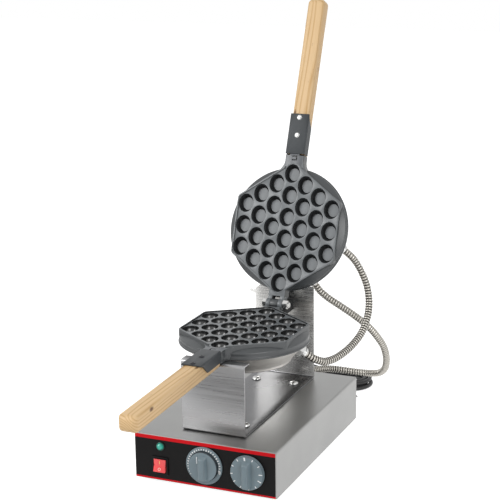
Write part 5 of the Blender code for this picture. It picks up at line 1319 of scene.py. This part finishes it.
indicator()
rocker()
scale = []
for number in range(SCALE_TICKS):
    inner = 0.0238 if number % 5 else 0.0232
    scale.append((SCALE_START + SCALE_STEP * number, inner, 0.0262, 0.0017, DIAL_FLANGE))
scale += [(degrees, 0.0240, 0.0274, 0.0012, DIAL_FLANGE) for degrees in SCALE_POINTER]
dial("temperature_knob", 0.001, 0.0285, 0.022, 0.0055, scale, [BAR_LINE])
scale = [(TIMER_POINTER, 0.0180, 0.0246, 0.0022, TIMER_TICKS_Z)]
for degrees in TIMER_TICKS:
    inner = 0.0190 if degrees in TIMER_LONG_TICKS else 0.0214
    scale.append((degrees, inner, 0.0247, 0.0012, TIMER_TICKS_Z))
dial("timer_knob", 0.308 * BASE_WIDTH, 0.026, 0.025, 0.0035, scale)


# Feet, glands and the hank's tie

RELIEF_RIBS = 7
GLAND_THREADS = 5
TIE_HALF_WIDTH = 0.005
TIE_SLACK = 0.0008
TIE_SHEET = 0.0010


def foot(number):
    """A round rubber foot with a hollow under it."""
    low, high = (Vector(corner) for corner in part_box(f"rubber_foot_{number}"))
    top = FOOT_HEIGHT - CLEARANCE
    outline = softened([(0.0, top), (0.0100, top), (0.0100, 0.0012), (0.0088, 0.0), (0.0040, 0.0),
                        (0.0036, 0.0010), (0.0, 0.0010)], 0.0006, 3)
    place = moved((low.x + high.x) / 2, (low.y + high.y) / 2, 0)
    piece(f"round_foot_{number}", lathe(outline, 40), place, ROOT, "foot_rubber",
          [f"rubber_foot_{number}"])


def cord_relief():
    """A flange and a tapered sleeve with ribs, closing on the lead."""
    outline = [(0.0, RELIEF_LENGTH), (0.0046, RELIEF_LENGTH)]
    for rib in range(RELIEF_RIBS, -1, -1):
        z = 0.006 + (RELIEF_LENGTH - 0.010) * rib / RELIEF_RIBS
        radius = 0.0070 + (0.0047 - 0.0070) * z / RELIEF_LENGTH
        outline += [(radius - 0.0009, z + 0.0017), (radius, z + 0.0012), (radius, z - 0.0004),
                    (radius - 0.0009, z - 0.0009)]
    outline += [(0.0105, 0.004), (0.0105, 0.0), (0.0070, 0.0), (0.0070, -0.009), (0.0, -0.009)]
    place = MACHINE @ moved(LEAD_X, BASE_DEPTH + CLEARANCE, LEAD_Z) @ Z_OUT_OF_BACK
    mesh = lathe(softened(outline, 0.0004, 2), 40)
    piece("ribbed_relief", mesh, place, ROOT, "cord_rubber", ["cord_gland"])


def hose_gland():
    """A hexagon nut on a threaded barrel, behind the base."""
    thread = [(0.0, HOSE_GLAND_LENGTH), (0.0078, HOSE_GLAND_LENGTH)]
    for turn in range(GLAND_THREADS):
        z = HOSE_GLAND_LENGTH - 0.0006 - 0.0015 * turn
        thread += [(0.0085, z), (0.0085, z - 0.0005), (0.0079, z - 0.0010)]
    thread += [(0.0085, 0.007), (0.0085, -0.010), (0.0, -0.010)]
    mesh = shaped(slab(round_of(0.0125, 6), 0.0, 0.008, None, 0.0006), joins=[lathe(thread, 48)])
    place = MACHINE @ moved(0, BASE_DEPTH + CLEARANCE, HOSE_GLAND_Z) @ Z_OUT_OF_BACK
    piece("threaded_gland", mesh, place, ROOT, "bolt_steel", ["base_hose_gland"])


def hank_tie():
    """A strap round the hank's waist, lying on the table and over both layers."""
    reach = HANK_FOLD_RADIUS + HANK_STEP * HANK_TURNS_A_LAYER - HANK_WAIST + LEAD_RADIUS + TIE_SLACK
    top = HANK_LAYER + 2 * LEAD_RADIUS + TABLE_CLEARANCE + TIE_SLACK
    bands = []
    for radius, grow in ((0.006, 0.0), (0.005, TIE_SHEET)):
        across, low, high = reach + 0.0012 - grow, 0.0002 + grow / 4, top + 0.0012 - grow
        corners = [(across, low), (across, high), (-across, high), (-across, low)]
        bands.append(softened(corners, radius, 5, closed=True))
    outer, inner = bands
    side = TIE_HALF_WIDTH
    edges = ((-side, outer), (side, outer), (side, inner), (-side, inner), (-side, outer))
    rings = [[(x, y, z) for y, z in band] for x, band in edges]
    place = moved(HANK_CENTRE[0], HANK_CENTRE[1] + BASE_LOW.y, 0)
    piece("hank_tie", mesh_of(lofted(rings, capped=False)), place, ROOT, "cord_rubber", looks=["tie"])


for number in range(1, 5):
    foot(number)
cord_relief()
hose_gland()
hank_tie()


# Camera, floor, backdrop and lights

CAMERA_PLACE = Vector((0.83095, -1.73065, 0.85297))
CAMERA_RIGHT = Vector((0.91797, 0.39642, -0.01359))
CAMERA_UP = Vector((-0.08787, 0.23666, 0.96761))
CAMERA_LENS = 103.36
CAMERA_SENSOR = 36.0
FLOOR_SIZE = (12.0, 12.0)
FLOOR_GREY = 0.80
FLOOR_LIFT = 0.78
WORLD_LIGHT = 0.42
LAMP_AIM = Vector((0, 0, 0.25))
LAMPS = (  # name, place, size, power and whether the metal shows it
    ("key", (-1.75, -1.75, 1.75), (1.35, 1.35), 37, True),
    ("side", (1.80, -1.25, 1.25), (1.15, 1.15), 19, True),
    ("back", (-0.4, 2.2, 1.9), (1.6, 0.8), 12, False),
)
CARDS = (  # name, place, size and grey
    ("left_card", (-0.85, 0.20, 0.002), (0.8, 0.7), 0.22),
    ("front_card", (-0.15, -0.60, 0.002), (0.8, 0.5), 0.16),
)
WHITE = (1, 1, 1, 1)


def camera():
    """The camera at the photograph's viewing angle."""
    lens = bpy.data.cameras.new("camera")
    lens.lens, lens.sensor_width = CAMERA_LENS, CAMERA_SENSOR
    turn = Matrix((CAMERA_RIGHT, CAMERA_UP, CAMERA_RIGHT.cross(CAMERA_UP))).transposed().to_4x4()
    made = linked("camera", lens)
    made.matrix_world = Matrix.Translation(MACHINE @ CAMERA_PLACE) @ turn
    bpy.context.scene.camera = made


def seen_or_reflected(tree):
    """1 for what the camera, a mirror or glass sees, and 0 for what only lights the object."""
    path = node(tree, "LightPath").outputs
    first = maths(tree, "MAXIMUM", path["Is Camera Ray"], path["Is Glossy Ray"])
    return maths(tree, "MAXIMUM", first, path["Is Transmission Ray"])


def bare_tree(owner):
    """The empty node tree of a material or a world."""
    owner.use_nodes = True
    owner.node_tree.nodes.clear()
    return owner.node_tree


def sheet(name, size, material):
    """A flat sheet of the studio, which faces up."""
    shape = bmesh.new()
    bmesh.ops.create_grid(shape, x_segments=1, y_segments=1, size=0.5)
    bmesh.ops.scale(shape, vec=(*size, 1), verts=shape.verts)
    made = linked(name, mesh_of(shape, clean=False))
    made.data.materials.append(material)
    return made


def floor():
    """A pale floor, lifted to white where it is seen or reflected, which keeps its shadows."""
    white = bpy.data.materials.new("floor")
    tree = bare_tree(white)
    dull = node(tree, "BsdfDiffuse", {"Color": (FLOOR_GREY, FLOOR_GREY, FLOOR_GREY, 1)}).outputs[0]
    glow = node(tree, "Emission", {"Color": WHITE, "Strength": FLOOR_LIFT}).outputs[0]
    both = node(tree, "AddShader", {0: dull, 1: glow}).outputs[0]
    shown = node(tree, "MixShader", {0: seen_or_reflected(tree), 1: dull, 2: both}).outputs[0]
    node(tree, "OutputMaterial", {"Surface": shown})
    sheet("floor", FLOOR_SIZE, white)


def backdrop():
    """A world that is white where it is seen or reflected, and dimmer as a light."""
    bpy.context.scene.world = bpy.data.worlds.new("studio")
    tree = bare_tree(bpy.context.scene.world)
    light = node(tree, "Background", {"Color": WHITE, "Strength": WORLD_LIGHT}).outputs[0]
    seen = node(tree, "Background", {"Color": WHITE, "Strength": 1.0}).outputs[0]
    both = node(tree, "MixShader", {0: seen_or_reflected(tree), 1: light, 2: seen}).outputs[0]
    node(tree, "OutputWorld", {"Surface": both})


def lamp(name, place, size, power, shown):
    light = bpy.data.lights.new(name, "AREA")
    light.shape = "RECTANGLE"
    light.size, light.size_y = size
    light.energy = power
    made = linked(name, light)
    made.location = place
    made.rotation_euler = (LAMP_AIM - Vector(place)).to_track_quat("-Z", "Y").to_euler()
    made.visible_glossy = shown


def card(name, place, size, grey):
    """A dull card on the floor, out of the camera's sight, which the metal shows as a darker band."""
    look(name, (grey, grey, grey), 0.9)
    made = sheet(name, size, LOOKS[name])
    made.location = place
    made.rotation_euler = Vector((0, 0, 1)).to_track_quat("Z", "Y").to_euler()
    made.visible_camera = made.visible_shadow = made.visible_diffuse = False


camera()
floor()
backdrop()
for values in LAMPS:
    lamp(*values)
for values in CARDS:
    card(*values)
bpy.context.scene.view_settings.view_transform = "Standard"
